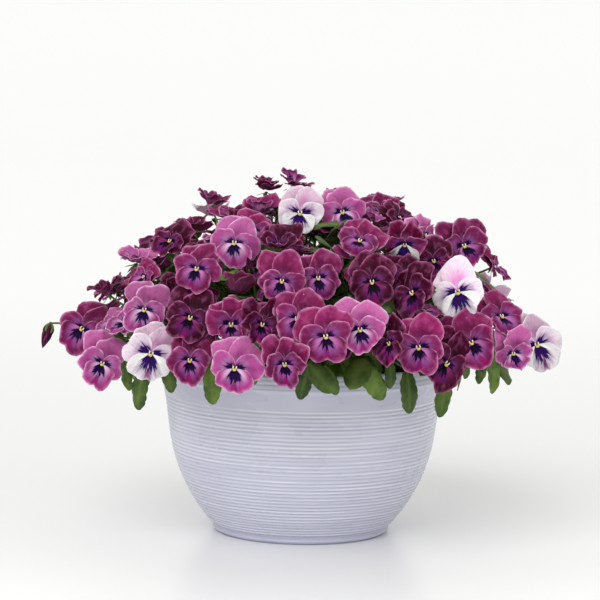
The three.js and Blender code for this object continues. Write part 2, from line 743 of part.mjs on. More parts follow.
function fillingLeaf(draw) {
  const turn = 360 * draw();
  const fall = 8 + 84 * draw();
  const depth = 16 + 34 * draw();
  const out = dome.radius * Math.sin(fall * degrees);
  const up = dome.middle + dome.height * Math.cos(fall * degrees);
  const skin = around(turn, out, up);
  const face = outward(skin);
  const base = skin.addScaledVector(face, -depth);
  const lean = new THREE.Vector3(draw() - 0.5, draw() - 0.5, -0.3 - 0.5 * draw());
  lean.addScaledVector(face, -lean.dot(face) + 0.15).normalize();
  const length = leafLength * (0.75 + 0.4 * draw());
  const tilt = new THREE.Vector3(draw() - 0.5, draw() - 0.5, draw() - 0.2).multiplyScalar(0.6);
  const tip = base.clone().addScaledVector(lean, length);
  return { base, tip, face: face.add(tilt), width: 0.48 * length };
}

function addLeaves(stems, bloomPoints, stalkPoints, draw) {
  for (const leaf of nearLeaves()) grow(leaf, stems, bloomPoints, stalkPoints);
  const wanted = [{ make: hangingLeaf, count: farHanging }, { make: fillingLeaf, count: filling }];
  for (const { make, count } of wanted) {
    let kept = 0;
    for (let i = 0; i < tries && kept < count; i++) {
      const leaf = make(draw);
      const { blade } = leafPoints({ ...leaf, from: leaf.base });
      const low = Math.min(...blade.map(({ x, y, z }) => (Math.hypot(x, y) < rimRadius + 8 ? z : Infinity)));
      if (low < potHeight + 4) continue;
      if (nearest(blade, bloomPoints) < leafRoom.bloom) continue;
      if (nearest(blade, stalkPoints) < leafRoom.stalk) continue;
      if (grow(leaf, stems, bloomPoints, stalkPoints)) kept++;
    }
  }
}

function stemTube(curve, radius) {
  return solidOf(new THREE.ExtrudeGeometry(section(radius, 4), { steps: stemSteps, extrudePath: curve }));
}

function section(radius, sides) {
  const corner = (i) => new THREE.Vector2(
    radius * Math.cos(i * 2 * Math.PI / sides), radius * Math.sin(i * 2 * Math.PI / sides),
  );
  return new THREE.Shape(Array.from({ length: sides }, (_, i) => corner(i)));
}

// Soil: fills the pot to below its lip, and each stem and stalk stands in a hole of its own
function makeSoil(holes) {
  const gap = seat + 0.1;
  const profile = potInside.slice(2).map(([r, z]) => [r - gap, z]);
  profile.at(-1)[1] += gap;
  const soil = turned(profile.reverse(), soilSides).subtract(wasm.Manifold.union(holes)).simplify(sliver);
  return meshOf('potting_soil', soil, finish.soil);
}

const draw = drawFrom(20260);
const sprays = [...nearBlooms(), ...farBlooms(draw)];
settle(sprays.flat());
const feet = sprays.map(foot);
spread(feet);
const mains = sprays.map((spray, i) => mainStalk(feet[i], spray[0]));
const stalks = sprays.flatMap((spray, i) => (
  spray.map((bloom, k) => (k ? sideStalk(mains[i], bloom) : mains[i]))
));
const stalkPoints = stalks.flatMap((curve) => curve.getPoints(24));
const places = placeStems(stalkPoints);
addLeaves(places, sprays.flat().flatMap(feel), stalkPoints, draw);
const stems = places.filter(({ leaves }) => leaves.length > 0);

const planter = new THREE.Group();
planter.name = 'potted_pansy_planter';
planter.add(makePot(), makeSoil([
  ...sprays.map((spray, i) => stalkHole(spray[0], mains[i])),
  ...stems.map(({ curve }) => stemTube(curve, stemRadius + 3 * seat).translate([0, 0, -seat])),
]));
stems.forEach(({ curve, leaves }, i) => {
  const stem = wholeOf([stemTube(curve, stemRadius), ...leaves.map(leafSolid)]);
  planter.add(meshOf('leafy_stem_' + String(i + 1).padStart(2, '0'), stem, finish.leaf));
});
sprays.forEach((spray, i) => {
  const name = 'flower_spray_' + String(i + 1).padStart(2, '0');
  planter.add(meshOf(name, spraySolid(spray, mains[i]), finish[spray[0].kind]));
});

export default planter;
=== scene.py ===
import itertools
import math

import bpy
import numpy as np
from mathutils import Matrix, Vector


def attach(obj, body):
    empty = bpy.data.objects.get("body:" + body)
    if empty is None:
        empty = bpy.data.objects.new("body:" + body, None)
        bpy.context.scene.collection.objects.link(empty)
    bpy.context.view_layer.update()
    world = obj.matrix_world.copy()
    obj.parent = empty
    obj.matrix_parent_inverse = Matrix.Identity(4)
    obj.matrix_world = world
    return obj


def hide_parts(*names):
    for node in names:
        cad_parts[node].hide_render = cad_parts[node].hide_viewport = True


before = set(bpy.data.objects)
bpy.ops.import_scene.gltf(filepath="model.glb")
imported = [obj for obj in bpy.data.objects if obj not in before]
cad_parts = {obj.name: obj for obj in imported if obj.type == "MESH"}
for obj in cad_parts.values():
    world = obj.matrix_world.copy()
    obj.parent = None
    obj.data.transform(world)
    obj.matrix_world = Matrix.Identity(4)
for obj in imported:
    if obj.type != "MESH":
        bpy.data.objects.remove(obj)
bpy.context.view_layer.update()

# Camera: it stands 3 m in front of the bowl and a little above the flowers, with a long lens, and hangs a
# degree out of level. The flowers of the near side are placed along its lines of sight, in millimetres.
mm = 0.001
degrees = math.pi / 180
sight = {"away": 3000, "high": 580, "lean": 0.0175}
camera_dip = 6.617
camera_roll = 1.0
camera_lens = 181.2
right_of_middle = 4.5 / 600


def stand(name, data):
    """A new object that holds the data and stands in the scene."""
    made = bpy.data.objects.new(name, data)
    bpy.context.collection.objects.link(made)
    return made


camera_data = bpy.data.cameras.new("camera")
camera_data.lens = camera_lens
camera_data.sensor_width = 36
camera_data.shift_x = -right_of_middle
camera_data.clip_end = 200
camera = stand("camera", camera_data)
camera.location = (0, -sight["away"] * mm, sight["high"] * mm)
camera.rotation_euler = (
    Matrix.Rotation((90 - camera_dip) * degrees, 3, "X") @ Matrix.Rotation(camera_roll * degrees, 3, "Z")
).to_euler()
bpy.context.scene.camera = camera
bpy.context.scene.view_settings.view_transform = "Standard"

# Pot: a thin bowl turned in pale grey-lilac, with a plain flared band, a lip, and 36 soft grooves down to
# its low foot. It is moulded in one piece, and four drain holes go through its floor.
pot_height = 176
rim_radius = 148
groove_count = 36
groove_depth = 0.7
groove_rows = (0.0, 0.16, 0.33, 0.5, 0.67, 0.84)
groove_wander = [(2, 0.2), (5, 0.13), (11, 0.08)]
groove_low = 9
groove_high = 141
pot_steps = 176
wall_steps = 60
wall = [(90.2, 8.4), (104.6, 26.4), (117.3, 48.6), (125.4, 68), (130.9, 88), (134.3, 110), (136.5, 127),
        (138.8, 141), (141.4, 150), (144.2, 158)]
lip = [(146.2, 158.8), (147.4, 159.8), (147.9, 161.4), (147.5, 162.2), (147.9, 163), (148, 166), (147.6, 166.7),
       (148, 167.4), (148, 170.6), (147.7, 171.3), (148, 172), (147.7, 174.2), (147, 175.6),
       (146.2, pot_height), (143.6, pot_height), (142.6, 175.2), (141.8, 173)]
inside = [(141, 165), (140, 158), (135, 136), (129, 112), (118.5, 68), (104, 38), (88, 10), (84, 7), (78, 6)]
foot = [(84, 1.4), (85.2, 0), (85.6, 1.1), (87.4, 1.9), (88.4, 3), (88.4, 4), (87.8, 4.8), (88.2, 5.7),
        (88.8, 7), (89.6, 7.9)]
band_rows = 12
drain_count = 4
drain_ring = 52
drain_radius = 6
drain_sides = 24
# Pot shades: the ground and its clouds, a painted shade towards the foot, a painted shade in the grooves, a painted
# highlight on the ridge tops mixed with whitish rubbing, and darker streaks.
pot_shades = {"ground": (195, 196, 214), "cloud": (206, 207, 224), "low": (178, 178, 199), "hollow": (154, 154, 176),
              "ridge": (234, 235, 245), "streak": (176, 176, 198)}


def rounded(points, steps):
    """The curve through the points, with the given steps from each to the next."""
    p = np.array([points[0], *points, points[-1]], dtype=float)
    t = np.linspace(0, 1, steps, endpoint=False)[:, None]
    runs = [0.5 * (2 * b + (c - a) * t + (2 * a - 5 * b + 4 * c - d) * t**2 + (3 * b - a - 3 * c + d) * t**3)
            for a, b, c, d in zip(p, p[1:], p[2:], p[3:])]
    return np.vstack([*runs, p[-1:]])


def ring_faces(rows, steps):
    low = [(row * steps + k, row * steps + (k + 1) % steps) for row in range(rows - 1) for k in range(steps)]
    return [(a, b, b + steps, a + steps) for a, b in low]


def turned(rings, steps):
    """Corners and faces of a closed body turned from (radius, height) rings, each radius one value or many."""
    turns = np.linspace(0, 2 * math.pi, steps, endpoint=False)
    corners = [np.stack(np.broadcast_arrays(radius * np.cos(turns), radius * np.sin(turns), float(height)), axis=1)
               for radius, height in rings]
    corners = np.vstack([*corners, [[0, 0, rings[0][1]], [0, 0, rings[-1][1]]]])
    first, last, top = len(corners) - 2, len(corners) - 1, (len(rings) - 1) * steps
    faces = ring_faces(len(rings), steps)
    for k in range(steps):
        n = (k + 1) % steps
        faces += [(first, n, k), (last, top + k, top + n)]
    return corners, faces


def new_mesh(name, corners, faces):
    mesh = bpy.data.meshes.new(name)
    mesh.from_pydata((np.asarray(corners) * mm).tolist(), [], faces, shade_flat=False)
    return mesh


def corners_of(mesh):
    place = np.empty(len(mesh.vertices) * 3)
    mesh.vertices.foreach_get("co", place)
    return place.reshape(-1, 3) / mm


def hold(mesh, name, values, kind="FLOAT", key="value"):
    mesh.attributes.new(name, kind, "POINT").data.foreach_set(key, np.ravel(values))


def plain_mesh(blank):
    """The plain mesh that an object's modifiers make; the object is removed."""
    mesh = bpy.data.meshes.new_from_object(blank.evaluated_get(bpy.context.evaluated_depsgraph_get()))
    bpy.data.objects.remove(blank)
    return mesh


def new_piece(name, mesh, material, nodes=()):
    piece = stand(name, mesh)
    mesh.materials.clear()
    mesh.materials.append(material)
    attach(piece, "root")
    if nodes:
        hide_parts(*nodes)


class Wire:
    """A value that comes out of a node, for sums, products and steps of it."""

    def __init__(self, nodes, socket):
        self.nodes, self.socket = nodes, socket

    def math(self, operation, other):
        return self.nodes.node("ShaderNodeMath", self, other, settings={"operation": operation})

    def __add__(self, other):
        return self.math("ADD", other)

    def __sub__(self, other):
        return self.math("SUBTRACT", other)

    def __mul__(self, other):
        return self.math("MULTIPLY", other)

    def step(self, low, high, to_low=0.0, to_high=1.0):
        return self.nodes.node("ShaderNodeMapRange", self, low, high, to_low, to_high,
                               settings={"interpolation_type": "SMOOTHSTEP"})


def linear(*shade):
    """A colour as it shows on screen, 0 to 255, as a light value."""
    parts = [c / 255 for c in shade]
    return tuple(c / 12.92 if c <= 0.04045 else ((c + 0.055) / 1.055) ** 2.4 for c in parts) + (1.0,)


class Nodes:
    """A tree made up node by node. A colour of three numbers is one as it shows on screen."""

    def __init__(self, tree):
        self.tree = tree

    def feed(self, socket, value):
        if isinstance(value, Wire):
            self.tree.links.new(value.socket, socket)
        elif socket.type == "RGBA" and len(value) == 3:
            socket.default_value = linear(*value)
        else:
            socket.default_value = value

    def node(self, kind, *values, output=0, settings={}, **named):
        """What comes out of a new node, with its inputs fed in their order or by their names."""
        node = self.tree.nodes.new(kind)
        for name, value in settings.items():
            setattr(node, name, value)
        for socket, value in zip(node.inputs, values):
            self.feed(socket, value)
        for name, value in named.items():
            self.feed(node.inputs[name.replace("_", " ")], value)
        return Wire(self, node.outputs[output])


class Finish(Nodes):
    """A material's tree, whose values feed its one surface."""

    def __init__(self, name):
        self.material = bpy.data.materials.new(name)
        self.material.use_nodes = True
        super().__init__(self.material.node_tree)

    def blend(self, factor, first, second):
        return self.node("ShaderNodeMix", output="Result", settings={"data_type": "RGBA"},
                         Factor=factor, A=first, B=second)

    def attribute(self, name, output="Fac"):
        return self.node("ShaderNodeAttribute", output=output, settings={"attribute_name": name})

    def noise(self, vector, scale, detail, rough):
        return self.node("ShaderNodeTexNoise", Vector=vector, Scale=scale, Detail=detail, Roughness=rough)

    def object_at(self, *scale):
        """The place on the object in metres, stretched along its own axes."""
        return self.node("ShaderNodeMapping", Vector=self.node("ShaderNodeTexCoord", output="Object"),
                         Scale=scale or (1, 1, 1))

    def axis(self, vector, name):
        return self.node("ShaderNodeSeparateXYZ", vector, output=name)

    def bump(self, height, strength, distance):
        return self.node("ShaderNodeBump", Height=height, Strength=strength, Distance=distance)

    def show(self, **inputs):
        for name, value in inputs.items():
            self.feed(self.tree.nodes["Principled BSDF"].inputs[name.replace("_", " ")], value)
        return self.material


def moulded_finish():
    """Satin grey-lilac plastic with streaks round it, painted shade in its grooves and towards its foot, and paler
    ridge tops: whitish rubbing with a painted highlight.
    """
    finish, shades = Finish("pot_plastic"), pot_shades
    relief = finish.attribute("relief")
    streaks = finish.noise(finish.object_at(7, 7, 420), 1.0, 3.0, 0.6)
    clouds = finish.noise(finish.object_at(12, 12, 30), 1.0, 3.0, 0.55)
    ground = finish.blend(clouds.step(0.3, 0.7), shades["ground"], shades["cloud"])
    # Painted shade: darker towards the foot.
    low = finish.axis(finish.object_at(), "Z").step(0.12, 0.03, 0.0, 0.6)
    ground = finish.blend(low, ground, shades["low"])
    # Painted shade: the grooves are darker where the relief sinks.
    hollow = finish.blend(relief.step(0.35, 0.0, 0.0, 0.55), ground, shades["hollow"])
    # Paler ridge tops along the streaks: whitish rubbing together with a painted highlight.
    highlit_and_rubbed = relief.step(0.5, 1.0) * streaks.step(0.4, 0.62, 0.35, 0.85)
    ridges = finish.blend(highlit_and_rubbed, hollow, shades["ridge"])
    shaded = finish.blend(streaks.step(0.46, 0.3, 0.0, 0.14), ridges, shades["streak"])
    return finish.show(Base_Color=shaded, Roughness=clouds.step(0.3, 0.7, 0.24, 0.36), Specular_IOR_Level=0.6)


def pot_mesh():
    line = rounded(wall, wall_steps)
    run = np.concatenate([[0], np.cumsum(np.hypot(*np.diff(line, axis=0).T))])
    at = lambda s: np.array([np.interp(s, run, line[:, 0]), np.interp(s, run, line[:, 1])])
    start, end = np.interp([groove_low, groove_high], line[:, 1], run)
    turns = np.linspace(0, 2 * math.pi, pot_steps, endpoint=False)
    random = np.random.default_rng(7)
    rings = [*foot]
    for groove in range(groove_count):
        shifts = random.uniform(0, 2 * math.pi, 3)
        deep = groove_depth * sum((share * np.sin(times * turns + shift)
                                   for (times, share), shift in zip(groove_wander, shifts)), 0.8)
        for share in groove_rows:
            s = start + (groove + share) * (end - start) / groove_count
            ahead = at(s + 0.5) - at(s - 0.5)
            rise = ahead / np.hypot(*ahead)
            lift = math.sin(math.pi * share) ** 1.1 - 0.6
            r, z = at(s)
            rings.append((r + rise[1] * deep * lift, z - rise[0] * 0.6 * groove_depth * lift))
    rings += [*(tuple(at(s)) for s in np.linspace(end, run[-1] - 0.4, band_rows)), *lip, *inside]
    body = stand("pot_blank", new_mesh("pot", *turned(rings, pot_steps)))
    drills = []
    for k in range(drain_count):
        turn = (k + 0.5) * 2 * math.pi / drain_count
        hole, sides = turned([(drain_radius, -10), (drain_radius, 20)], drain_sides)
        hole += [drain_ring * math.cos(turn), drain_ring * math.sin(turn), 0]
        drills.append(stand("drill", new_mesh("drill", hole, sides)))
        cut = body.modifiers.new("drain", "BOOLEAN")
        cut.object = drills[-1]
        cut.solver = "MANIFOLD"
    made = plain_mesh(body)
    for drill in drills:
        bpy.data.objects.remove(drill)
    x, y, z = corners_of(made).T
    proud = (np.hypot(x, y) - np.interp(z, line[:, 1], line[:, 0])) / groove_depth + 0.6
    grooved = (z > groove_low) & (z < groove_high) & (np.abs(proud) < 2)
    hold(made, "relief", np.where(grooved, proud, 0.5))
    made.shade_smooth()
    return made


new_piece("turned_pot", pot_mesh(), moulded_finish(), ["planter"])

# Soil: moist peat compost that fills the pot to below its lip. It is poured in loose, so its top is uneven
# and strewn with crumbs, and the stems and stalks come up through it.
soil_top = 158
soil_gap = 0.4
soil_rows = 22
soil_humps = 14
hump_height = 0.42
soil_side = [(78, 6.4), (88, 10), (118, 68), (128.6, 112), (139.6, soil_top - 1.5)]
soil_steps = 72
soil_shades = [(38, 28, 20), (70, 52, 38), (120, 96, 70)]
crumb_size = 2.6
crumb_density = 13000.0


def compost_finish():
    finish = Finish("compost")
    grain = finish.noise(finish.object_at(), 420, 5.0, 0.7)
    clods = finish.noise(finish.object_at(), 90, 3.0, 0.6)
    damp, dry, grit = soil_shades
    dark = finish.blend(clods.step(0.35, 0.65), damp, dry)
    return finish.show(Base_Color=finish.blend(grain.step(0.6, 0.72), dark, grit), Roughness=0.95,
                       Normal=finish.bump(grain, 0.8, 0.002))


class Former(Nodes):
    """A tree of geometry nodes with named inputs. It ends in one real mesh with its material set."""

    def __init__(self, name, **inputs):
        super().__init__(bpy.data.node_groups.new(name, "GeometryNodeTree"))
        self.keys = {label: self.tree.interface.new_socket(
            label.replace("_", " "), in_out="INPUT", socket_type="NodeSocket" + kind).identifier
            for label, kind in inputs.items()}
        given = self.tree.nodes.new("NodeGroupInput")
        self.given = [Wire(self, given.outputs[k]) for k in range(len(inputs))]

    def end_in(self, shape, material):
        self.tree.interface.new_socket("Made", in_out="OUTPUT", socket_type="NodeSocketGeometry")
        coated = self.node("GeometryNodeSetMaterial", self.node("GeometryNodeRealizeInstances", shape),
                           Material=material)
        self.feed(self.tree.nodes.new("NodeGroupOutput").inputs[0], coated)
        return self

    def form(self, name, data, **inputs):
        """The plain mesh that the tree makes of the data."""
        blank = stand(name, data)
        modifier = blank.modifiers.new("made", "NODES")
        modifier.node_group = self.tree
        for label, value in inputs.items():
            modifier[self.keys[label]] = value
        return plain_mesh(blank)


def crumb_former(material):
    """Geometry nodes that strew crumbs over the upper faces of a surface."""
    former = Former("strewn_crumbs", Surface="Geometry", Crumb_Size="Float", Density="Float")
    surface, size, density = former.given
    upward = former.node("ShaderNodeSeparateXYZ", former.node("GeometryNodeInputNormal"), output="Z")
    strewn = former.node("GeometryNodeDistributePointsOnFaces", Mesh=surface, Density=density, Seed=5,
                         Selection=former.node("FunctionNodeCompare", A=upward, B=0.8))
    vectors = {"data_type": "FLOAT_VECTOR"}
    placed = former.node(
        "GeometryNodeInstanceOnPoints", Points=strewn,
        Instance=former.node("GeometryNodeMeshIcoSphere", Radius=size, Subdivisions=1),
        Rotation=former.node("FunctionNodeRandomValue", settings=vectors, Max=(6.28, 6.28, 6.28)),
        Scale=former.node("FunctionNodeRandomValue", settings=vectors, Min=(0.2, 0.15, 0.12), Max=(1.0, 0.6, 0.5),
                          Seed=2))
    joined = former.node("GeometryNodeJoinGeometry", surface)
    former.feed(joined.socket.node.inputs[0], placed)
    return former.end_in(joined, material)


def soil_mesh(material):
    rings = [(radius - soil_gap, height) for radius, height in soil_side]
    corners, faces = turned(rings + [(radius, soil_top) for radius in np.linspace(136, 3, soil_rows)], soil_steps)
    top = corners[:, 2] > soil_top - 0.1
    x, y = corners[top, 0], corners[top, 1]
    for fx, fy, shift in np.random.default_rng(3).uniform(-1, 1, (soil_humps, 3)):
        corners[top, 2] += hump_height * np.sin(0.11 * fx * x + 0.11 * fy * y + 9 * shift)
    return crumb_former(material).form("soil_blank", new_mesh("soil", corners, faces),
                                       Crumb_Size=crumb_size * mm, Density=crumb_density)


compost = compost_finish()
new_piece("filled_soil", soil_mesh(compost), compost, ["potting_soil"])

# Places of the flowers: their eyes lie on a low dome. Those of the near side stand where the camera sees
# them, those of the far side in rows round it, and blooms that would cross are slid apart.
dome = np.array([222.0, 222.0, 160.0])
dome_middle = np.array([0.0, 0.0, 172.0])
bloom_size = 50
bud_size = 18
# Each spray's flowers: across and up as the camera sees them, kind, size, turns to the right, up and about
# the flower's own axis in degrees, how waved it is, and how far it stands out from the dome.
near_sprays = [
    [[-222, 203, "purple", 52, -18, 0, 14, 0.8, 4], [-202, 168, "lilac", 50, 10, -4, 0, 0.7, 10],
     [-255, 204, "bud", 18, -45, -65, 0, 0, 0]],
    [[-160, 222, "lilac", 50, -8, 4, -6, 0.8, 0], [-197, 240, "wine", 40, -70, 50, 0, 0.6, -8]],
    [[-153, 178, "white", 58, 0, -6, 2, 0.7, 12]],
    [[-170, 271, "lilac", 46, -14, 62, 0, 0.8, 0], [-135, 291, "wine", 44, -34, 22, 0, 0.7, 0]],
    [[-108, 263, "purple", 50, -12, 14, 0, 0.7, 4], [-113, 303, "wine", 40, -50, 60, 0, 0.6, -6]],
    [[-114, 214, "wine", 52, -4, 4, 4, 0.7, 8], [-114, 171, "purple", 48, 2, 0, -2, 0.6, 12]],
    [[-94, 329, "purple", 38, -20, 76, 0, 0.8, 0], [-71, 289, "lilac", 52, -4, 14, 0, 0.7, 6]],
    [[-53, 302, "purple", 44, 10, 24, 10, 0.7, -6], [-46, 320, "purple", 44, 0, 62, 0, 0.8, 2]],
    [[-69, 240, "wine", 50, 0, 112, 0, 0.7, -4], [-54, 262, "bud", 13, -20, 50, 0, 0, 0]],
    [[-73, 207, "purple", 52, -2, 6, -8, 1.5, 4], [-42, 207, "wine", 46, 8, 4, 8, 1.6, 2]],
    [[-69, 163, "lilac", 54, 2, -2, 2, 0.8, 14], [-19, 167, "purple", 48, 6, -4, -8, 1.5, 10]],
    [[-40, 343, "wine", 38, 0, 96, 0, 0.7, 0], [-14, 348, "purple", 38, 6, 84, 0, 0.7, 0]],
    [[-6, 319, "white", 56, 0, 10, 0, 0.6, 8]],
    [[-27, 286, "wine", 50, -2, 46, 0, 0.8, 2], [-23, 251, "purple", 48, 0, 2, 6, 0.9, 8]],
    [[36, 320, "lilac", 50, 14, 10, -6, 0.8, 4], [60, 316, "lilac", 36, 60, 40, 0, 0.7, -8]],
    [[13, 254, "purple", 48, 14, 4, -6, 0.8, 4], [54, 291, "purple", 48, 4, 32, 30, 0.8, 4]],
    [[75, 321, "purple", 44, 8, 26, 0, 0.7, 2], [93, 314, "wine", 42, 52, 30, 0, 0.8, -6]],
    [[99, 288, "hooded", 44, 6, -34, 10, 0.9, 4]],
    [[67, 250, "wine", 52, 4, 2, 0, 0.6, 6], [98, 256, "wine", 42, 20, 14, 20, 0.7, -10]],
    [[119, 297, "lilac", 40, 58, 8, 0, 0.8, -4], [128, 271, "wine", 44, 16, 10, 0, 0.7, -8]],
    [[158, 286, "purple", 54, 20, 14, 4, 0.8, 4], [189, 265, "purple", 38, 78, 14, 0, 0.7, 0]],
    [[108, 239, "wine", 54, -34, 2, -14, 1.0, 6]],
    [[153, 240, "white", 60, 0, 0, 0, 0.5, 10]],
    [[197, 215, "purple", 54, 36, 26, 10, 0.8, 0], [168, 189, "purple", 54, 2, 0, -10, 0.8, 6]],
    [[233, 187, "white", 60, 26, -4, 2, 0.7, 4]],
    [[210, 178, "lilac", 42, 18, -4, 16, 1.6, 10]],
    [[22, 195, "purple", 54, 0, 4, -10, 0.7, 14], [-7, 213, "purple", 50, -6, 4, 6, 0.7, 2]],
    [[56, 202, "lilac", 52, 4, 2, 2, 0.6, 8], [86, 188, "wine", 44, -34, 2, -8, 0.8, 2]],
    [[115, 184, "purple", 56, 0, 0, 0, 0.6, 14], [143, 168, "wine", 58, 30, -12, 46, 1.0, 8]],
]
# Rows of the far side: height, first and last turn round the pot, and number of flowers.
far_rows = [(196, 102, 256, 10), (240, 98, 262, 8), (280, 96, 262, 7), (312, 112, 250, 4)]
far_kinds = ["purple", "wine", "lilac", "purple", "lilac", "white", "purple", "bud"]
clearance = 11.3
settle_rounds = 60
settle_step = 0.3
up_axis = np.array([0.0, 0.0, 1.0])
forward_axis = np.array([0.0, 1.0, 0.0])


def draws(seed):
    """A seeded draw of values from 0 to 1, the same on every run."""
    while True:
        seed = seed * 16807 % 2147483647
        yield seed / 2147483647


def unit(v):
    return v / math.sqrt(v @ v)


def cross(a, b):
    return np.array([a[1] * b[2] - a[2] * b[1], a[2] * b[0] - a[0] * b[2], a[0] * b[1] - a[1] * b[0]])


def outward(point):
    return unit((point - dome_middle) / dome**2)


def around(turn, out, up):
    return np.array([out * math.sin(turn * degrees), -out * math.cos(turn * degrees), up])


def met(across, up, radii, middle):
    """Where the camera's line of sight meets a round body, and that line."""
    start = np.array([0.0, -sight["away"], sight["high"]])
    ray = np.array([across, 0.0, up + across * sight["lean"]]) - start
    place, way = (start - middle) / radii, ray / radii
    a, b, c = way @ way, 2 * place @ way, place @ place - 1
    return start + ray * ((-b - math.sqrt(max(0.0, b * b - 4 * a * c))) / (2 * a)), ray


def in_frame(origin, axes, *place):
    """Points given by how far along each of three axes they lie."""
    return sum((np.expand_dims(far, -1) * axis for far, axis in zip(place, axes)), origin)


def sway(draw, shift, share=1):
    """A random lean: as far to either side as the other, and shifted in its height."""
    return np.array([next(draw) - 0.5, next(draw) - 0.5, share * next(draw) - shift])


class Bloom:
    """A flower: its eye, where it faces, and its own right and up. Its lower petal hangs down or outwards."""

    def __init__(self, eye, ahead, slide, kind, size, roll, wave, lift):
        hang = up_axis - 0.35 * outward(eye)
        top = unit(hang - ahead * (hang @ ahead))
        self.up = top * math.cos(roll * degrees) + cross(top, ahead) * math.sin(roll * degrees)
        self.right = cross(self.up, ahead)
        self.eye = eye + slide * lift
        self.ahead, self.slide, self.kind, self.size, self.wave = ahead, slide, kind, size, wave

    def at(self, *place):
        return in_frame(self.eye, (self.right, self.up, self.ahead), *place)

    def frame(self, size):
        return self.eye, self.right, self.up, self.ahead, self.size / size


def near_bloom(across, up, kind, size, yaw, pitch, roll, wave, lift):
    eye, ray = met(across, up, dome, dome_middle)
    slide = -unit(ray)
    right = unit(cross(up_axis, slide))
    y, p = yaw * degrees, pitch * degrees
    ahead = (slide * math.cos(y) * math.cos(p) + right * math.sin(y) * math.cos(p)
             + cross(slide, right) * math.sin(p))
    return Bloom(eye, ahead, slide, kind, size, roll, wave, lift)


def far_sprays(draw):
    sprays = []
    for height, start, end, count in far_rows:
        for i in range(count):
            turn = start + (end - start) * (i + 0.5 + 0.3 * (next(draw) - 0.5)) / count
            up = height + 14 * (next(draw) - 0.5)
            eye = around(turn, dome[0] * math.sqrt(1 - ((up - dome_middle[2]) / dome[2]) ** 2), up)
            slide = outward(eye)
            lean = sway(draw, 0.05, 0.5)
            kind = far_kinds[int(next(draw) * len(far_kinds))]
            size = (bud_size if kind == "bud" else bloom_size) * (0.86 + 0.26 * next(draw))
            roll, wave = 40 * (next(draw) - 0.5), 0.5 + next(draw) ** 2
            bloom = Bloom(eye, unit(slide + lean * 0.7), slide, kind, size, roll, wave, 10 * (next(draw) - 0.5))
            if i % 2 == 0:
                sprays.append([])
            sprays[-1].append(bloom)
    return sprays


def feel(bloom, cup=0):
    """Points over a flower and down its crook, which keep it clear of others."""
    half, (x, y, z) = bloom.size / 2, fingers.T
    return bloom.at(x * half, y * half, z + math.sin(cup * degrees) * half * np.hypot(x, y))


def nearest(these, those):
    if len(these) == 0 or len(those) == 0:
        return math.inf
    gaps = these[:, None, :] - those[None, :, :]
    return math.sqrt((gaps * gaps).sum(axis=2).min())


def settle(blooms):
    order = [bloom.eye.copy() for bloom in blooms]
    for _ in range(settle_rounds):
        felt = [feel(bloom) for bloom in blooms]
        for (i, a), (j, b) in itertools.combinations(enumerate(blooms), 2):
            if math.dist(a.eye, b.eye) > (a.size + b.size) / 2 + clearance:
                continue
            short = clearance - nearest(felt[i], felt[j])
            if short > 0:
                between = unit(a.slide + b.slide)
                step = settle_step * short * (1 if (order[i] - order[j]) @ between > 0 else -1)
                a.eye = a.eye + a.slide * step
                b.eye = b.eye - b.slide * step


fingers = np.array([(0, 0, 0), (0, 0, -12), (0, 0, -22)] + [
    (reach * math.cos(i * 2 * math.pi / count), reach * math.sin(i * 2 * math.pi / count), 0)
    for count, reach in ((6, 0.42), (12, 0.9)) for i in range(count)])
draw = draws(20260)
sprays = [[near_bloom(*row) for row in spray] for spray in near_sprays] + far_sprays(draw)
all_blooms = [bloom for spray in sprays for bloom in spray]
open_blooms = [bloom for bloom in all_blooms if bloom.kind != "bud"]
settle(all_blooms)

# Flower stalks: slender green stalks that stand in the soil, fork under the flowers and hook over behind
# each eye, where a calyx of five pointed sepals holds the petals. They grow in one with the plants.
hole_depth = 12
foot_spacing = 11
spread_rounds = 40
eye_back = -3
stalk_radius = 1.25
stalk_sides = 8
leaf_values = ("tint", "under", "rib")
leaf_shades = {"deep": ((24, 50, 12), (68, 98, 26)), "light": ((42, 72, 18), (114, 142, 50)),
               "rib": (122, 144, 70), "under": (92, 112, 68)}
open_sepals = ("open_sepals", 11, -3.4, 0)
closed_sepals = ("closed_sepals", 1.4, 13, 3.2)


def foot_of(spray):
    x, y, z = sum(bloom.eye for bloom in spray) / len(spray)
    out = math.hypot(x, y)
    fall = math.atan2(out / dome[0], (z - dome_middle[2]) / dome[2]) / (90 * degrees)
    reach = (12 + 86 * fall) / out
    return np.array([x * reach, y * reach, soil_top])


def spread(feet):
    for _ in range(spread_rounds):
        for i, j in itertools.combinations(range(len(feet)), 2):
            apart = feet[i] - feet[j]
            short = foot_spacing - math.sqrt(apart @ apart)
            if short > 0:
                feet[i] = feet[i] + unit(apart) * short / 2
                feet[j] = feet[j] - unit(apart) * short / 2


def along(path, shares):
    """Points at the shares, or at even steps, of the smooth curve that a path's few points steer."""
    t = np.linspace(0, 1, shares) if isinstance(shares, int) else np.asarray(shares)
    points = list(path)
    while len(points) > 1:
        points = [a + (b - a) * t[..., None] for a, b in zip(points, points[1:])]
    return points[0]


def with_height(point, height):
    return np.array([point[0], point[1], height])


def crook(bloom):
    back = 10 if bloom.kind == "bud" else 20
    behind = bloom.eye - bloom.ahead * back - outward(bloom.eye) * 0.6 * back
    return behind, bloom.eye + bloom.ahead * (eye_back - 1.5)


def main_stalk(base, bloom):
    rise = with_height(base, soil_top + 30 + 0.3 * (bloom.eye[2] - soil_top))
    return [with_height(base, soil_top - hole_depth), rise, *crook(bloom)]


def side_stalk(main, bloom):
    behind, end = crook(bloom)
    fork = along(main, 0.55)
    return [along(main, 0.3), fork + (behind - fork) * 0.2, behind, end]


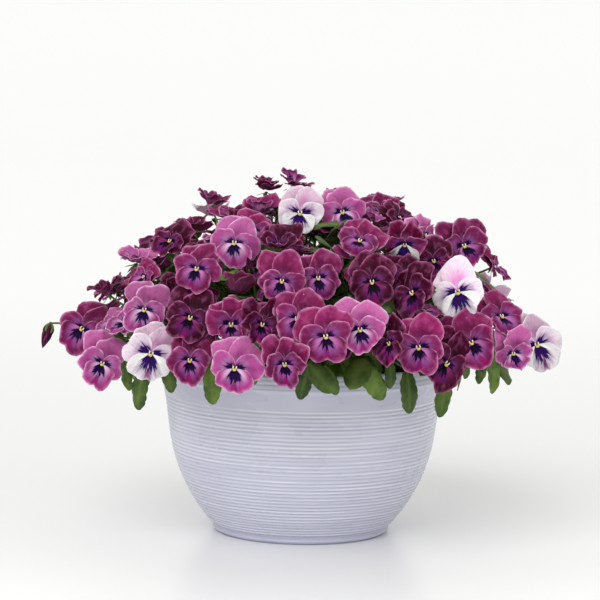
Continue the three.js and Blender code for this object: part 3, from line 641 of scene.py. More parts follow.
def green_finish():
    """Leaf tissue: soft green with paler ribs, each leaf a little different, and duller underneath."""
    finish = Finish("leaf_tissue")
    tint, under, rib = (finish.attribute(name) for name in leaf_values)
    patches = finish.noise(finish.object_at(), 70, 3.0, 0.6)
    grain = finish.noise(finish.object_at(), 900, 2.0, 0.6)
    deep, light = (finish.blend(tint, *leaf_shades[name]) for name in ("deep", "light"))
    ribbed = finish.blend(rib * 0.5, finish.blend(patches.step(0.3, 0.7), deep, light), leaf_shades["rib"])
    return finish.show(Base_Color=finish.blend(under * 0.5, ribbed, leaf_shades["under"]), Specular_IOR_Level=0.35,
                       Roughness=grain.step(0.3, 0.7, 0.42, 0.6), Normal=finish.bump(grain, 0.3, 0.0003))


def tube_former(material):
    """Geometry nodes that make a round tube along each path, as thick as the path's own radius."""
    former = Former("tube_along_path", Paths="Geometry", Sides="Int")
    paths, sides = former.given
    ring = former.node("GeometryNodeCurvePrimitiveCircle", Resolution=sides, Radius=1.0)
    return former.end_in(former.node("GeometryNodeCurveToMesh", Curve=paths, Profile_Curve=ring, Fill_Caps=True,
                                     Scale=former.node("GeometryNodeInputRadius")), material)


def tubes(paths, start, end):
    """Tubes along lists of points, each with the same radius at its start and at its end."""
    curve = bpy.data.curves.new("paths", "CURVE")
    curve.dimensions = "3D"
    for points in paths:
        spline = curve.splines.new("POLY")
        spline.points.add(len(points) - 1)
        spline.points.foreach_set("co", np.column_stack([points * mm, np.ones(len(points))]).ravel())
        spline.points.foreach_set("radius", np.linspace(start, end, len(points)) * mm)
    return tube_nodes.form("path_blank", curve, Sides=stalk_sides)


def copy_former(material):
    """Geometry nodes that set a copy of a piece on each point, turned and sized by the point's values."""
    former = Former("set_on_points", Points="Geometry", Piece="Object")
    points, piece = former.given
    turn = former.node("GeometryNodeInputNamedAttribute", settings={"data_type": "FLOAT_VECTOR"}, Name="turn")
    return former.end_in(former.node(
        "GeometryNodeInstanceOnPoints", Points=points,
        Instance=former.node("GeometryNodeObjectInfo", Object=piece, output="Geometry"),
        Rotation=former.node("FunctionNodeEulerToRotation", turn),
        Scale=former.node("GeometryNodeInputNamedAttribute", Name="size")), material)


def copies(pattern, places):
    """A copy of a pattern mesh at each place: a point, its right, up and ahead, and a size."""
    points = new_mesh("places", [point for point, *_ in places], [])
    hold(points, "turn", [Matrix(axes).transposed().to_euler() for _, *axes, _ in places], "FLOAT_VECTOR", "vector")
    hold(points, "size", [size for *_, size in places])
    model = stand("pattern", pattern)
    made = copy_nodes.form("points", points, Piece=model)
    bpy.data.objects.remove(model)
    return made


class Tissue:
    """Corners, faces and named values of a plant's tissue, gathered until they become one mesh."""

    def __init__(self, values, colours=()):
        self.corners, self.faces, self.count = [], [], 0
        self.widths = {**dict.fromkeys(values, 1), **dict.fromkeys(colours, 4)}
        self.held = {name: [] for name in self.widths}

    def add(self, corners, faces, **held):
        n = len(corners)
        self.corners.append(corners)
        self.faces += [tuple(k + self.count for k in face) for face in faces]
        for name, width in self.widths.items():
            value = np.reshape(held.get(name, 0.0), (-1, width))
            self.held[name].append(np.broadcast_to(value, (n, width)))
        self.count += n

    def add_mesh(self, mesh, **held):
        self.add(corners_of(mesh), [tuple(face.vertices) for face in mesh.polygons], **held)

    def mesh(self, name):
        made = new_mesh(name, np.vstack(self.corners), self.faces)
        for key, width in self.widths.items():
            hold(made, key, np.vstack(self.held[key]), *(("FLOAT_COLOR", "color") if width == 4 else ()))
        return made

    def piece(self, name, material, slot, nodes=()):
        new_piece(name, self.mesh(name), material, nodes)


def calyx_mesh(name, reach, rise, swell):
    """Five pointed sepals round the stalk's end: narrow blades with a ridge, 0.5 mm thick."""
    growth = Tissue(())
    s = np.linspace(0, 1, 7)
    n = len(s)
    halves = 1.9 * np.sin(math.pi * np.clip(0.25 + 0.75 * s, 0, 0.985)) ** 0.8
    faces = [(a * n + i, b * n + i, b * n + i + 1, a * n + i + 1)
             for i in range(n - 1) for a, b in ((0, 1), (1, 2), (2, 3), (3, 0))]
    faces += [(3 * n, 2 * n, n, 0), (n - 1, 2 * n - 1, 3 * n - 1, 4 * n - 1)]
    for k in range(5):
        turn = (90 + 36 + 72 * k) * degrees
        out = np.array([math.cos(turn), math.sin(turn), 0])
        across = np.array([-math.sin(turn), math.cos(turn), 0])
        radius = 1.6 + reach * s + swell * np.sin(math.pi * s)
        middle = radius[:, None] * out + (eye_back - 1.6 + rise * s)[:, None] * up_axis
        lift = cross(across, unit(middle[-1] - middle[0]))
        side = across * halves[:, None]
        growth.add(np.vstack([middle - side, middle + lift * 0.5, middle + side, middle - lift * 0.15]), faces)
    growth.add(*turned([(0.7, -6.4), (1.9, -5.4), (2.4, -4.2), (1.8, -3.2)], 8))
    return growth.mesh(name)


feet = [foot_of(spray) for spray in sprays]
spread(feet)
stalks = []
for foot_point, spray in zip(feet, sprays):
    main = main_stalk(foot_point, spray[0])
    stalks += [main, *(side_stalk(main, bloom) for bloom in spray[1:])]
stalk_points = np.vstack([along(stalk, 25) for stalk in stalks])

leaf_tissue = green_finish()
tube_nodes = tube_former(leaf_tissue)
copy_nodes = copy_former(leaf_tissue)
buds = [bloom.frame(bud_size) for bloom in all_blooms if bloom.kind == "bud"]
greens = Tissue(leaf_values)
greens.add_mesh(tubes([along(stalk, 15) for stalk in stalks], 1.25 * stalk_radius, 0.8 * stalk_radius), tint=0.55)
greens.add_mesh(copies(calyx_mesh(*open_sepals), [bloom.frame(bloom_size) for bloom in open_blooms]), tint=0.7)
greens.add_mesh(copies(calyx_mesh(*closed_sepals), buds), tint=0.65)
greens.piece("flower_stalks", leaf_tissue, "leaf", [f"flower_spray_{i + 1:02d}" for i in range(len(sprays))])

# Leafy stems: short green stems round the rim and among the flowers, with leaves on petioles. The blades are
# thin and arched, with rounded teeth and a pale midrib, and many of them hang over the lip.
# Rings of stems: number, distance from the middle, rise, outward lean and first turn.
stem_rings = [(8, 114, 38, 14, 22), (4, 50, 84, 26, 45)]
stem_shifts = [0, 3, -3, 6, -6, 9, -9, 12, -12, 15, -15, 18, -18]
stem_room = 7
stem_radius = 2.0
leaf_length = 44
heights = [0.15, 0.4, 0.65, 0.9]
petiole_reach = 85
petiole_radius = 1.05
sharpest = {"fold": -0.5, "side": 0.85}
leaf_room = {"bloom": 9.4, "stalk": 7.8, "petiole": 5.8, "leaf": 7}
# Leaves at the near rim: base and tip as the camera sees them, width, and distance from the middle.
hanging_leaves = [
    (-192, 210, -179, 168, 22, 200), (-176, 172, -174, 140, 14, 180), (-157, 166, -165, 121, 19, 178),
    (-136, 172, -131, 138, 16, 176), (-90, 172, -90, 126, 19, 176), (-50, 166, -49, 146, 10, 164),
    (6, 170, -3, 131, 16, 178), (21, 166, 34, 136, 13, 168), (58, 168, 81, 131, 21, 180),
    (86, 172, 87, 142, 12, 174), (103, 162, 107, 117, 18, 172), (142, 160, 137, 113, 18, 180),
    (179, 172, 175, 147, 12, 186), (188, 184, 190, 137, 15, 194),
]
far_hanging = 11
filling = 22
filling_rule = {"fall": (8, 84), "depth": (16, 34), "droop": 0.3, "slant": 0.15, "least": 0.75, "lift": 0.2,
                "tilt": 0.6}
tries = 6000
blade_teeth = 5.5
blade_arch = 0.36
blade_curl = 0.012
blade_thickness = 0.4


class Stem:
    def __init__(self, turn, ring, rise, lean):
        self.path = [around(turn, ring, soil_top - hole_depth), around(turn, ring, soil_top + 0.5 * rise),
                     around(turn, ring + lean, soil_top + rise)]
        self.line, self.half = along(self.path, 11), along(self.path, 0.5)
        self.leaves = []
        self.room = nearest(along(self.path, 13), stalk_points)


class Leaf:
    """A leaf blade from its base to its tip, with the face it shows, and its petiole's start once it grows."""

    def __init__(self, base, tip, face, width):
        self.base, self.width, self.length = base, width, math.dist(base, tip)
        self.along = (tip - base) / self.length
        self.face_to(face)
        share = np.repeat(np.arange(9) / 8, 3)
        half = 0.45 * width * np.sqrt(np.sin(math.pi * np.minimum(0.97, share + 0.08)))
        self.felt = self.blade(share, np.tile([-1.0, 0.0, 1.0], 9) * half)

    def face_to(self, face):
        self.normal = unit(face - self.along * (face @ self.along))
        self.across = cross(self.along, self.normal)

    def blade(self, share, sideways):
        arch = blade_arch * self.length * share * (1 - share) - blade_curl * sideways**2
        return in_frame(self.base, (self.along, self.across, self.normal), share * self.length, sideways, arch)

    def middle(self, start):
        bent = start + (self.base - start) * 0.55 - self.along * 0.12 * math.dist(start, self.base)
        return with_height(bent, max(start[2], self.base[2]) + 2)

    def petiole_points(self, start):
        middle = self.middle(start)
        rising = [start + (middle - start) * i / 6 for i in range(2, 7)]
        return np.array(rising + [middle + (self.base - middle) * i / 7 for i in range(1, 7)])

    def unfolded(self, start):
        middle = self.middle(start)
        parts = [unit(middle - start), unit(self.base - middle)]
        return (min(parts[0] @ parts[1], parts[1] @ self.along) > sharpest["fold"]
                and max(abs(part @ self.across) for part in parts) < sharpest["side"])


def place_stem(turn, ring, rise, lean):
    """The first of some nearby places that is clear of the flowers' stalks, or else the clearest one."""
    choices = [Stem(turn + shift, ring, rise, lean) for shift in stem_shifts]
    clear = [stem for stem in choices if stem.room > stem_room]
    return clear[0] if clear else max(choices, key=lambda stem: stem.room)


def gap(these, those, centre, reach=110):
    """The gap between two groups of points, of which the second counts only near the centre."""
    away = those - centre
    return nearest(these, those[(away * away).sum(axis=1) < reach**2])


def gathered(lists):
    return np.vstack([np.empty((0, 3)), *lists])


def clear_of_pot(points):
    near_rim = np.hypot(points[:, 0], points[:, 1]) < rim_radius + 8
    return not near_rim.any() or points[near_rim, 2].min() >= pot_height + 4


def grow(leaf, stems):
    """Joins a leaf to the nearest stem from which its petiole can reach it clear of everything."""
    things = np.vstack([bloom_points, stalk_points])
    starts = [(stem, stem.half + (stem.path[2] - stem.half) * share) for stem in stems for share in heights]
    choices = [(math.dist(start, leaf.base), stem, start) for stem, start in starts]
    for reach, stem, start in sorted(choices, key=lambda choice: choice[0]):
        if reach >= petiole_reach or not leaf.unfolded(start):
            continue
        petiole = leaf.petiole_points(start)
        both = np.vstack([leaf.felt, petiole])
        others = [other for other in stems if other is not stem]
        far, own = (gathered(grown.points for one in group for grown in one.leaves) for group in (others, [stem]))
        if (gap(petiole, things, leaf.base) >= leaf_room["petiole"]
                and gap(both, gathered(other.line for other in others), leaf.base) >= leaf_room["stalk"]
                and gap(both, far, leaf.base) >= leaf_room["leaf"]
                and gap(leaf.felt, own, leaf.base) >= leaf_room["leaf"]):
            leaf.start, leaf.points = start, both
            stem.leaves.append(leaf)
            return True
    return False


def near_leaf(across, up, tip_across, tip_up, width, out):
    barrel = np.array([out, out, math.inf])
    base, tip = met(across, up, barrel, 0)[0], met(tip_across, tip_up, barrel, 0)[0]
    return Leaf(base, tip, with_height(base, 0.2 * out), width)


def hanging_leaf(draw):
    turn = 70 + 220 * next(draw)
    out = 166 + 24 * next(draw)
    swing = 0.5 * (next(draw) - 0.5)
    length = leaf_length * (0.8 + 0.35 * next(draw))
    base = around(turn, out, 184 + 10 * next(draw))
    return Leaf(base, base + unit(around(turn + 90, swing, -1)) * length, around(turn, 1, 0.2), 0.46 * length)


def under_dome(turn, fall, depth):
    """A point under the dome, at a turn and a fall from its top, and the way out from there."""
    skin = around(turn, dome[0] * math.sin(fall * degrees), dome_middle[2] + dome[2] * math.cos(fall * degrees))
    return skin - outward(skin) * depth, outward(skin)


def filling_leaf(draw, rule):
    turn = 360 * next(draw)
    fall = rule["fall"][0] + rule["fall"][1] * next(draw)
    base, face = under_dome(turn, fall, rule["depth"][0] + rule["depth"][1] * next(draw))
    lean = sway(draw, rule["droop"], -0.5)
    lean = unit(lean + face * (rule["slant"] - lean @ face))
    length = leaf_length * (rule["least"] + 0.4 * next(draw))
    return Leaf(base, base + lean * length, face + sway(draw, rule["lift"]) * rule["tilt"], 0.48 * length)


def sown(make, wanted, tries, takes):
    """What comes of making things by seeded tries until enough of them are taken."""
    kept = []
    for _ in range(tries):
        if len(kept) == wanted:
            break
        made = make()
        if takes(made):
            kept.append(made)
    return kept


def has_room(leaf):
    return (clear_of_pot(leaf.felt) and nearest(leaf.felt, bloom_points) >= leaf_room["bloom"]
            and nearest(leaf.felt, stalk_points) >= leaf_room["stalk"] and grow(leaf, stems))


def sheet_faces(rows, columns):
    """Faces of a thin sheet, whose first side's corners come before the other's, with closed edges."""
    n, last = rows * columns, (rows - 1) * columns
    faces = []
    for a in (i * columns + j for i in range(rows - 1) for j in range(columns - 1)):
        b = a + columns
        faces += [(a, a + 1, b + 1, b), (n + a, n + b, n + b + 1, n + a + 1)]
    loop = [*range(columns), *range(2 * columns - 1, n, columns), *range(n - 2, last - 1, -1),
            *range(last - columns, 0, -columns)]
    return faces + [(p, n + p, n + q, q) for p, q in zip(loop, loop[1:] + loop[:1])]


def blade_sheet(growth, leaf, tint, wobble, rows=31, columns=7):
    """A leaf blade with rounded teeth, a sunk midrib, and a surface that swells between the side veins."""
    s = np.linspace(0, 1, rows)[:, None]
    c = np.linspace(-1, 1, columns)[None, :]
    side = np.abs(c)
    tooth = s * blade_teeth
    outline = (1 - np.abs(2 * s - 1) ** 2.2) ** 0.55
    outline *= 0.86 + 0.14 * np.abs(np.sin(math.pi * tooth)) ** 0.6
    half = np.maximum(0.5 * leaf.width * outline, 0.9 * (1 - s))
    vein = np.abs(np.sin(math.pi * (tooth + 0.5 - 0.9 * side)))
    rib = np.exp(-((c * half / 0.9) ** 2)) * (1 - 0.6 * s)
    margin = 0.9 * side**3 * np.sin(2.2 * tooth + wobble)
    lift = leaf.normal * (0.4 * vein * side * (1.2 - side) + margin - 0.45 * rib + 0.6)[..., None]
    front = (leaf.blade(s + 0 * c, c * half) + lift).reshape(-1, 3)
    streak = np.maximum(rib, 0.35 * np.exp(-((vein / 0.25) ** 2)) * (side < 0.9)).ravel()
    growth.add(np.vstack([front, front - leaf.normal * blade_thickness]), sheet_faces(rows, columns), tint=tint,
               under=np.repeat([0.0, 1.0], len(front)), rib=np.tile(streak, 2))


bloom_points = np.vstack([feel(bloom) for bloom in all_blooms])
stems = [place_stem(start + 360 / count * i, ring, rise, lean)
         for count, ring, rise, lean, start in stem_rings for i in range(count)]
for row in hanging_leaves:
    grow(near_leaf(*row), stems)
sown(lambda: hanging_leaf(draw), far_hanging, tries, has_room)
sown(lambda: filling_leaf(draw, filling_rule), filling, tries, has_room)
stems = [stem for stem in stems if stem.leaves]
shade = draws(411)
for number, stem in enumerate(stems, start=1):
    growth = Tissue(leaf_values)
    petioles = []
    for leaf in stem.leaves:
        if leaf.base[1] < 90:
            leaf.face_to(leaf.normal - 1.2 * abs(leaf.normal[0]) * forward_axis)
        middle = leaf.middle(leaf.start)
        bend = 2 * middle - 0.5 * (leaf.start + leaf.base)
        petioles.append(along([leaf.start, middle + (bend - middle) * 0.4, leaf.base], 9))
        blade_sheet(growth, leaf, 0.15 + 0.75 * next(shade), 6.28 * next(shade))
    growth.add_mesh(tubes([stem.line], 1.1 * stem_radius, 0.75 * stem_radius), tint=0.5)
    growth.add_mesh(tubes(petioles, 1.2 * petiole_radius, 0.85 * petiole_radius), tint=0.5)
    name = f"leafy_stem_{number:02d}"
    growth.piece(name + "_fine", leaf_tissue, "leaf", [name])

# Flowers: each has five velvety petals in layers, two upper ones behind, two at the sides and a broad lower
# one in front, waved at the margin. A dark blotch with fingers lies round the yellow eye. Flowers that face
# the sky hold their petals up in a cup.
# Petals from the eye's right round to the lower one: turn, level, and tilt when least and most swayed.
petals = [("side", -2, 0, (-4, 8)), ("upper", 62, -2.4, (-14, -2)), ("upper", 118, -4.8, (-16, -4)),
          ("side", 182, 0, (-4, 8)), ("lower", 270, 2.6, (6, 16))]
petal_parts = {
    "side": {"length": 0.9, "pinch": 0.66, "swing": 7}, "upper": {"length": 1.2, "pinch": 0.78, "swing": 10},
    "lower": {"length": 0.98, "pinch": 0.36, "swing": 7},
}
petal_spread = 84
petal_root = 1.2
petal_thickness = 0.32
margin_wave = 1.5
cup_of_skyward = 34
cup_of_ruffled = 22
petal_shades = {
    "white": {
        "upper": ((202, 114, 180), (232, 200, 220)), "side": ((206, 146, 202), (243, 228, 239)),
        "lower": ((249, 248, 240), (246, 242, 243)), "glow": (244, 234, 246), "edge": (249, 246, 249),
        "mark": (40, 5, 84), "fan": 0.64, "strength": 1.0, "tall": 0.88,
    },
    "lilac": {
        "upper": ((138, 34, 108), (200, 106, 168)), "side": ((134, 32, 112), (186, 82, 154)),
        "lower": ((232, 196, 228), (176, 66, 140)), "glow": (222, 172, 218), "edge": (236, 196, 222),
        "mark": (26, 2, 58), "fan": 0.54, "strength": 0.75, "tall": 1.0,
    },
    "purple": {
        "upper": ((106, 9, 66), (164, 42, 108)), "side": ((108, 12, 76), (160, 42, 112)),
        "lower": ((194, 120, 184), (142, 30, 98)), "glow": (188, 116, 186), "edge": (218, 150, 192),
        "mark": (20, 1, 42), "fan": 0.52, "strength": 0.54, "tall": 1.0,
    },
    "wine": {
        "upper": ((64, 2, 34), (118, 15, 64)), "side": ((72, 3, 42), (122, 17, 72)),
        "lower": ((128, 38, 98), (104, 9, 56)), "glow": (134, 56, 116), "edge": (188, 104, 152),
        "mark": (16, 0, 24), "fan": 0.5, "strength": 0.32, "tall": 1.0,
    },
}
petal_shades["hooded"] = {
    **petal_shades["white"], "upper": petal_shades["wine"]["upper"], "side": petal_shades["purple"]["side"],
    "glow": (196, 130, 186), "edge": (214, 142, 186), "strength": 0.8,
}
cloud_shade = (226, 130, 196)
under_shade = (176, 90, 138)
wedge_shade = (130, 14, 84)
halo_shade = (92, 22, 118)
eye_shade = (226, 210, 98)
beard_shade = (240, 236, 210)
bud_shades = ((38, 6, 30), (84, 18, 62))
no_blotch = 9.0


def petal_finish():
    """Velvety petal skin: veined along its rays, with a blotch that ends in fingers, a pale thin edge, and a painted
    sheen in a wider band inside the margin.
    """
    finish = Finish("petal_velvet")
    ray, reach, margin, blotch, wedge, under = (finish.attribute(name) for name in petal_values)
    body, mark, edge = (finish.attribute(name, "Color") for name in petal_hues)

    def rays(across, outwards, shift, detail, rough):
        place = finish.node("ShaderNodeCombineXYZ", ray * across, reach * outwards, shift)
        return finish.noise(place, 1.0, detail, rough)

    fine = rays(26.0, 0.12, 0.0, 3.0, 0.6)
    broad = rays(3.2, 0.1, 4.0, 2.0, 0.5)
    coarse = rays(7.5, 0.06, 9.0, 2.0, 0.5)
    skin = finish.blend(fine.step(0.5, 0.68, 0.0, 0.5), body, finish.blend(0.5, body, mark))
    skin = finish.blend(broad.step(0.45, 0.25, 0.0, 0.4), skin, finish.blend(0.5, skin, mark))
    skin = finish.blend(broad.step(0.45, 0.7, 0.0, 0.4), skin, finish.blend(0.35, skin, cloud_shade))
    stripe = wedge + (fine - 0.5) * 1.6
    skin = finish.blend(stripe.step(1.35, 0.5, 0.0, 0.8), skin, wedge_shade)
    fingers_out = blotch + (fine * 1.3 + coarse * 1.5 - 1.4)
    skin = finish.blend(fingers_out.step(1.9, 1.0, 0.0, 0.5), skin, halo_shade)
    skin = finish.blend(fingers_out.step(1.12, 0.92), skin, mark)
    rim = margin - broad * 0.9
    # Painted sheen: a wider band inside the margin, paled in patches.
    skin = finish.blend(rim.step(2.8, 0.2, 0.0, 0.32) * broad.step(0.3, 0.6, 0.3, 1.0), skin, edge)
    skin = finish.blend(rim.step(0.6, 0.0) * broad.step(0.32, 0.66, 0.1, 0.85), skin, edge)
    return finish.show(
        Base_Color=finish.blend(under * 0.4, skin, finish.blend(0.5, body, under_shade)), Roughness=0.6,
        Specular_IOR_Level=0.08, Subsurface_Weight=0.3, Subsurface_Radius=(1.0, 0.5, 0.8),
        Subsurface_Scale=0.0012, Normal=finish.bump(fine * 0.3 + broad, 0.6, 0.0011))


def smooth(x):
    x = np.clip(x, 0, 1)
    return x * x * (3 - 2 * x)


def tone(shade, brightness=1):
    return np.append(np.multiply(linear(*shade)[:3], brightness), 1)


def toward(colours, other, share):
    return colours + (other - colours) * share[..., None]


def petal_colours(shades, part, phi, s, out, brightness):
    """The colour of each corner of a petal, from the heart of the flower to the margin."""
    heart = tone(shades[part][0], 1 if part == "lower" else brightness)
    body = toward(heart, tone(shades[part][1], brightness), smooth((s - 0.2) / 0.6) + 0 * phi)
    if part == "side":
        body = toward(body, tone(shades["glow"]), 0.7 * np.exp(-(((out - 0.3) / 0.17) ** 2)) * np.cos(phi) ** 2)
    if part == "upper":
        body = toward(body, tone(shades["glow"]), 0.7 * np.exp(-((out / 0.27) ** 2)) + 0 * phi)
    return body.reshape(-1, 4)


def petal_sheet(flesh, bloom, part, turned_by, level, tilt, sway, brightness, rows, columns):
    """One petal: rows of corners from the eye out to its waved margin, a front, a back and closed edges."""
    a, b, c, d, e = (6.28 * next(chance) for _ in range(5))
    half, shades, kind = bloom.size / 2, petal_shades[bloom.kind], petal_parts[part]
    phi = np.linspace(-petal_spread, petal_spread, columns)[None, :] * degrees
    s = (np.linspace(0, 1, rows) ** 0.85)[:, None]
    outline = half * kind["length"] * (0.9 + 0.18 * next(chance)) * np.cos(phi) ** kind["pinch"]
    outline = outline * (1 + (0.7 + 0.7 * bloom.frill) * (
        0.06 * np.sin(3.1 * phi + a) + 0.042 * np.sin(6.5 * phi + b) + 0.014 * np.sin(13 * phi + e)))
    if part == "upper":
        outline = outline * shades["tall"]
    if part == "lower":
        outline = outline * (1 - 0.1 * np.exp(-((phi / 0.13) ** 2)))
    reach = petal_root + (outline - petal_root) * s
    out = reach / half
    lean = (tilt[0] + (tilt[1] - tilt[0]) * sway + bloom.cup) * degrees * smooth(out / 0.5)
    turn = (turned_by + kind["swing"] * math.sin(b)) * degrees + phi
    turn = turn + 0.04 * bloom.frill * s**2 * np.sin(10 * phi + d)
    ruffle = (0.9 + 1.6 * bloom.frill) * s**1.5 * out
    z = (level * smooth(out / 0.45) + 3.4 * out - 3.6 * out**2
         + margin_wave * bloom.frill * out**2 * np.sin(3 * turn + 0.13 * bloom.size)
         + ruffle * (np.sin(5 * turn + bloom.ruffles[0]) + 0.7 * np.sin(11 * turn + bloom.ruffles[1])
                     + 0.3 * np.sin(7.3 * phi + c))
         + (0.05 + 0.1 * math.sin(c)) * half * out * np.sin(phi) ** 2
         + 0.5 * np.sin(9 * out + 3 * phi + d) * smooth(out / 0.6) - 0.7 * out**4 + reach * np.sin(lean))
    flat = reach * np.cos(lean)
    front = bloom.at(flat * np.cos(turn), flat * np.sin(turn), z).reshape(-1, 3)
    wedge = blotch = plain = np.full(reach.shape, no_blotch)
    if part == "lower":
        wedge = np.abs(phi) / 0.15 + 3 * (1 - smooth((s - 0.3) / 0.3))
        lobes = 0.92 + 0.08 * np.cos(5 * phi + math.pi)
        fan = shades["fan"] * half * lobes * np.cos(np.clip(1.5 * phi, -1.55, 1.55)) ** 0.6
    elif part == "side":
        fan = 0.56 * shades["fan"] * half * np.cos(np.clip(1.15 * phi, -1.55, 1.55)) ** 0.7
    if part != "upper":
        blotch = reach / np.maximum(fan, 0.8)
    both = lambda values: np.tile(np.ravel(values), 2)
    flesh.add(
        np.vstack([front - bloom.ahead * petal_thickness, front]), sheet_faces(rows, columns),
        ray=both(phi + e + 0 * s), reach=both(reach), margin=both(outline - reach), wedge=both(wedge),
        blotch=np.append(plain, blotch), under=np.repeat([1.0, 0.0], len(front)),
        body=both(petal_colours(shades, part, phi, s, out, brightness)),
        mark=tone(shades["mark"]), edge=tone(shades["edge"]))


def bead(flesh, bloom, middle, radii, colour):
    """A small rounded body in a flower's eye, in the flower's own right, up and ahead."""
    shape, faces = turned([(math.sin(math.pi * i / 5), -math.cos(math.pi * i / 5)) for i in range(1, 5)], 8)
    shape[-2:, 2] = [-1, 1]
    scale = bloom.size / bloom_size
    corners = bloom.at(*(shape * np.multiply(radii, scale) + np.multiply(middle, scale)).T)
    flesh.add(corners, faces, reach=3.0, **no_marks, **dict.fromkeys(petal_hues, tone(colour)))


def open_flower(flesh, bloom, rows, columns):
    upper_sway = next(chance)
    bloom.ruffles = (6.28 * next(chance), 6.28 * next(chance))
    brightness = petal_shades[bloom.kind]["strength"] * (0.75 + 0.5 * next(chance))
    upper_tone = 0.8 + 0.5 * next(chance)
    for part, *rest in petals:
        sway = next(chance)
        if part == "upper":
            petal_sheet(flesh, bloom, part, *rest, upper_sway, brightness * upper_tone, rows, columns)
        else:
            petal_sheet(flesh, bloom, part, *rest, sway, brightness, rows, columns)
    bead(flesh, bloom, (0, -1.3, 1.8), (1.8, 1.3, 1.1), eye_shade)
    for side in (-1, 1):
        bead(flesh, bloom, (1.4 * side, 0.8, 1.5), (0.65, 1.5, 0.7), beard_shade)


def bud_body(flesh, bud):
    """The rolled petals of a bud: a dark spindle with furrows that wind round it to the tip, with painted shade down
    the furrows and a painted highlight on the ridges between them.
    """
    rows, columns = 12, 15
    s = np.linspace(0, 1, rows)[:, None]
    turn = np.linspace(0, 2 * math.pi, columns, endpoint=False)[None, :]
    radius = bud.size * (0.2 + 0.1 * np.sin(math.pi * s**0.8) - 0.19 * s**2.6) * (1 + 0.08 * np.sin(5 * turn + 5 * s))
    rise = eye_back + (1.25 * bud.size - eye_back) * s + 0 * turn
    wound = turn + 1.2 * s
    corners = bud.at(radius * np.cos(wound), radius * np.sin(wound), rise).reshape(-1, 3)
    faces = ring_faces(rows, columns)
    faces += [tuple(range(columns))[::-1], tuple(range((rows - 1) * columns, rows * columns))]
    # Painted shade and highlight: the colour goes dark in the furrows and pale on the ridges, in step with their
    # wave.
    deep, pale = (tone(shade) for shade in bud_shades)
    flesh.add(corners, faces, ray=(turn + 0 * s).ravel(), reach=rise.ravel(), **no_marks, mark=deep, edge=pale,
              body=toward(deep, pale, smooth(0.5 + 0.5 * np.sin(5 * turn + 5 * s))).reshape(-1, 4))


petal_values = ("ray", "reach", "margin", "blotch", "wedge", "under")
petal_hues = ("body", "mark", "edge")
no_marks = {"margin": 9.0, "blotch": no_blotch, "wedge": no_blotch}
velvet = petal_finish()
chance = draws(1234)
for number, spray in enumerate(sprays, start=1):
    flesh = Tissue(petal_values, petal_hues)
    for bloom in spray:
        if bloom.kind == "bud":
            bud_body(flesh, bloom)
            continue
        skyward = smooth((bloom.ahead[2] - 0.5) / 0.35)
        bloom.cup = cup_of_skyward * skyward + 14 * next(chance) - 4
        bloom.cup += cup_of_ruffled if bloom.wave > 1.2 else 0
        bloom.frill = bloom.wave * (1 - 0.6 * skyward)
        open_flower(flesh, bloom, 9, 21)
    slot = "petals_" + {"bud": "wine", "hooded": "white"}.get(spray[0].kind, spray[0].kind)
    flesh.piece(f"blooms_{number:02d}", velvet, slot, [f"flower_spray_{number:02d}"])

# Lower flowers: more flowers of the same plants, half hidden between and behind the others, which make the
# mound dense all round. Each stands on a stalk of its own; eight shapes are repeated among them.
lower_wanted = 135
lower_tries = 30000
lower_room = {"petals": 5.9, "leaves": 2.6}
lower_size = (32, 46)
# Half of the kinds are the dark wine, which also stands in for the shade between the flowers: partly painted shade.
lower_kinds = ["purple", "wine", "lilac", "wine", "wine", "purple", "wine", "purple"]
lower_cups = [8, 30, 4, 22, 12, 38, 26, 6]
lower_least = 198


def lower_bloom(draw):
    turn = 360 * next(draw)
    fall = 4 + 84 * next(draw) ** 0.8
    eye, face = under_dome(turn, fall, 3 + 22 * next(draw))
    lean = sway(draw, 0.45)
    number = int(next(draw) * len(lower_kinds))
    size = lower_size[0] + (lower_size[1] - lower_size[0]) * next(draw)
    bloom = Bloom(eye, unit(face + 1.1 * lean), face, lower_kinds[number], size, 50 * (next(draw) - 0.5), 1, 0)
    bloom.number = number
    return bloom


def hides_another(bloom):
    apart = bloom.eye - eyes
    before = (apart * ahead).sum(axis=1)
    aside = np.linalg.norm(apart - before[:, None] * ahead, axis=1)
    return ((before > 0) & (aside < 0.38 * (sizes + bloom.size))).any()


def has_place(bloom):
    global taken
    if bloom.eye[2] < lower_least or hides_another(bloom):
        return False
    felt = np.vstack([feel(bloom), feel(bloom, lower_cups[bloom.number])])
    if (not clear_of_pot(felt) or gap(felt, taken, bloom.eye, 50) < lower_room["petals"]
            or gap(felt, leaf_points, bloom.eye, 50) < lower_room["leaves"]):
        return False
    taken = np.vstack([taken, felt])
    return True


leaf_points = gathered(leaf.points for stem in stems for leaf in stem.leaves)
taken = np.vstack([bloom_points, *(feel(bloom, bloom.cup) for bloom in open_blooms)])
eyes, ahead, sizes = (np.array([getattr(bloom, name) for bloom in open_blooms]) for name in ("eye", "ahead", "size"))
lower_draw = draws(5077)
lower = sown(lambda: lower_bloom(lower_draw), lower_wanted, lower_tries, has_place)
for number, kind in enumerate(lower_kinds):
    model = Bloom(np.zeros(3), np.array([0.0, -1.0, 0.0]), up_axis, kind, bloom_size, 0, 0.8 + 0.12 * number, 0)
    model.cup, model.frill = lower_cups[number], 0.8
    flesh = Tissue(petal_values, petal_hues)
    open_flower(flesh, model, 7, 13)
    places = [(b.eye, b.right, -b.ahead, b.up, b.size / bloom_size) for b in lower if b.number == number]
    made = copies(flesh.mesh("lower_flower"), places)
    made.name = f"lower_blooms_{number + 1}"
    new_piece(made.name, made, velvet)
greens = Tissue(leaf_values)
greens.add_mesh(tubes([along(main_stalk(foot_of([bloom]), bloom), 12) for bloom in lower],
                      1.15 * stalk_radius, 0.75 * stalk_radius), tint=0.5)
greens.add_mesh(copies(calyx_mesh(*open_sepals), [bloom.frame(bloom_size) for bloom in lower]), tint=0.65)
greens.piece("lower_stalks", leaf_tissue, "leaf")

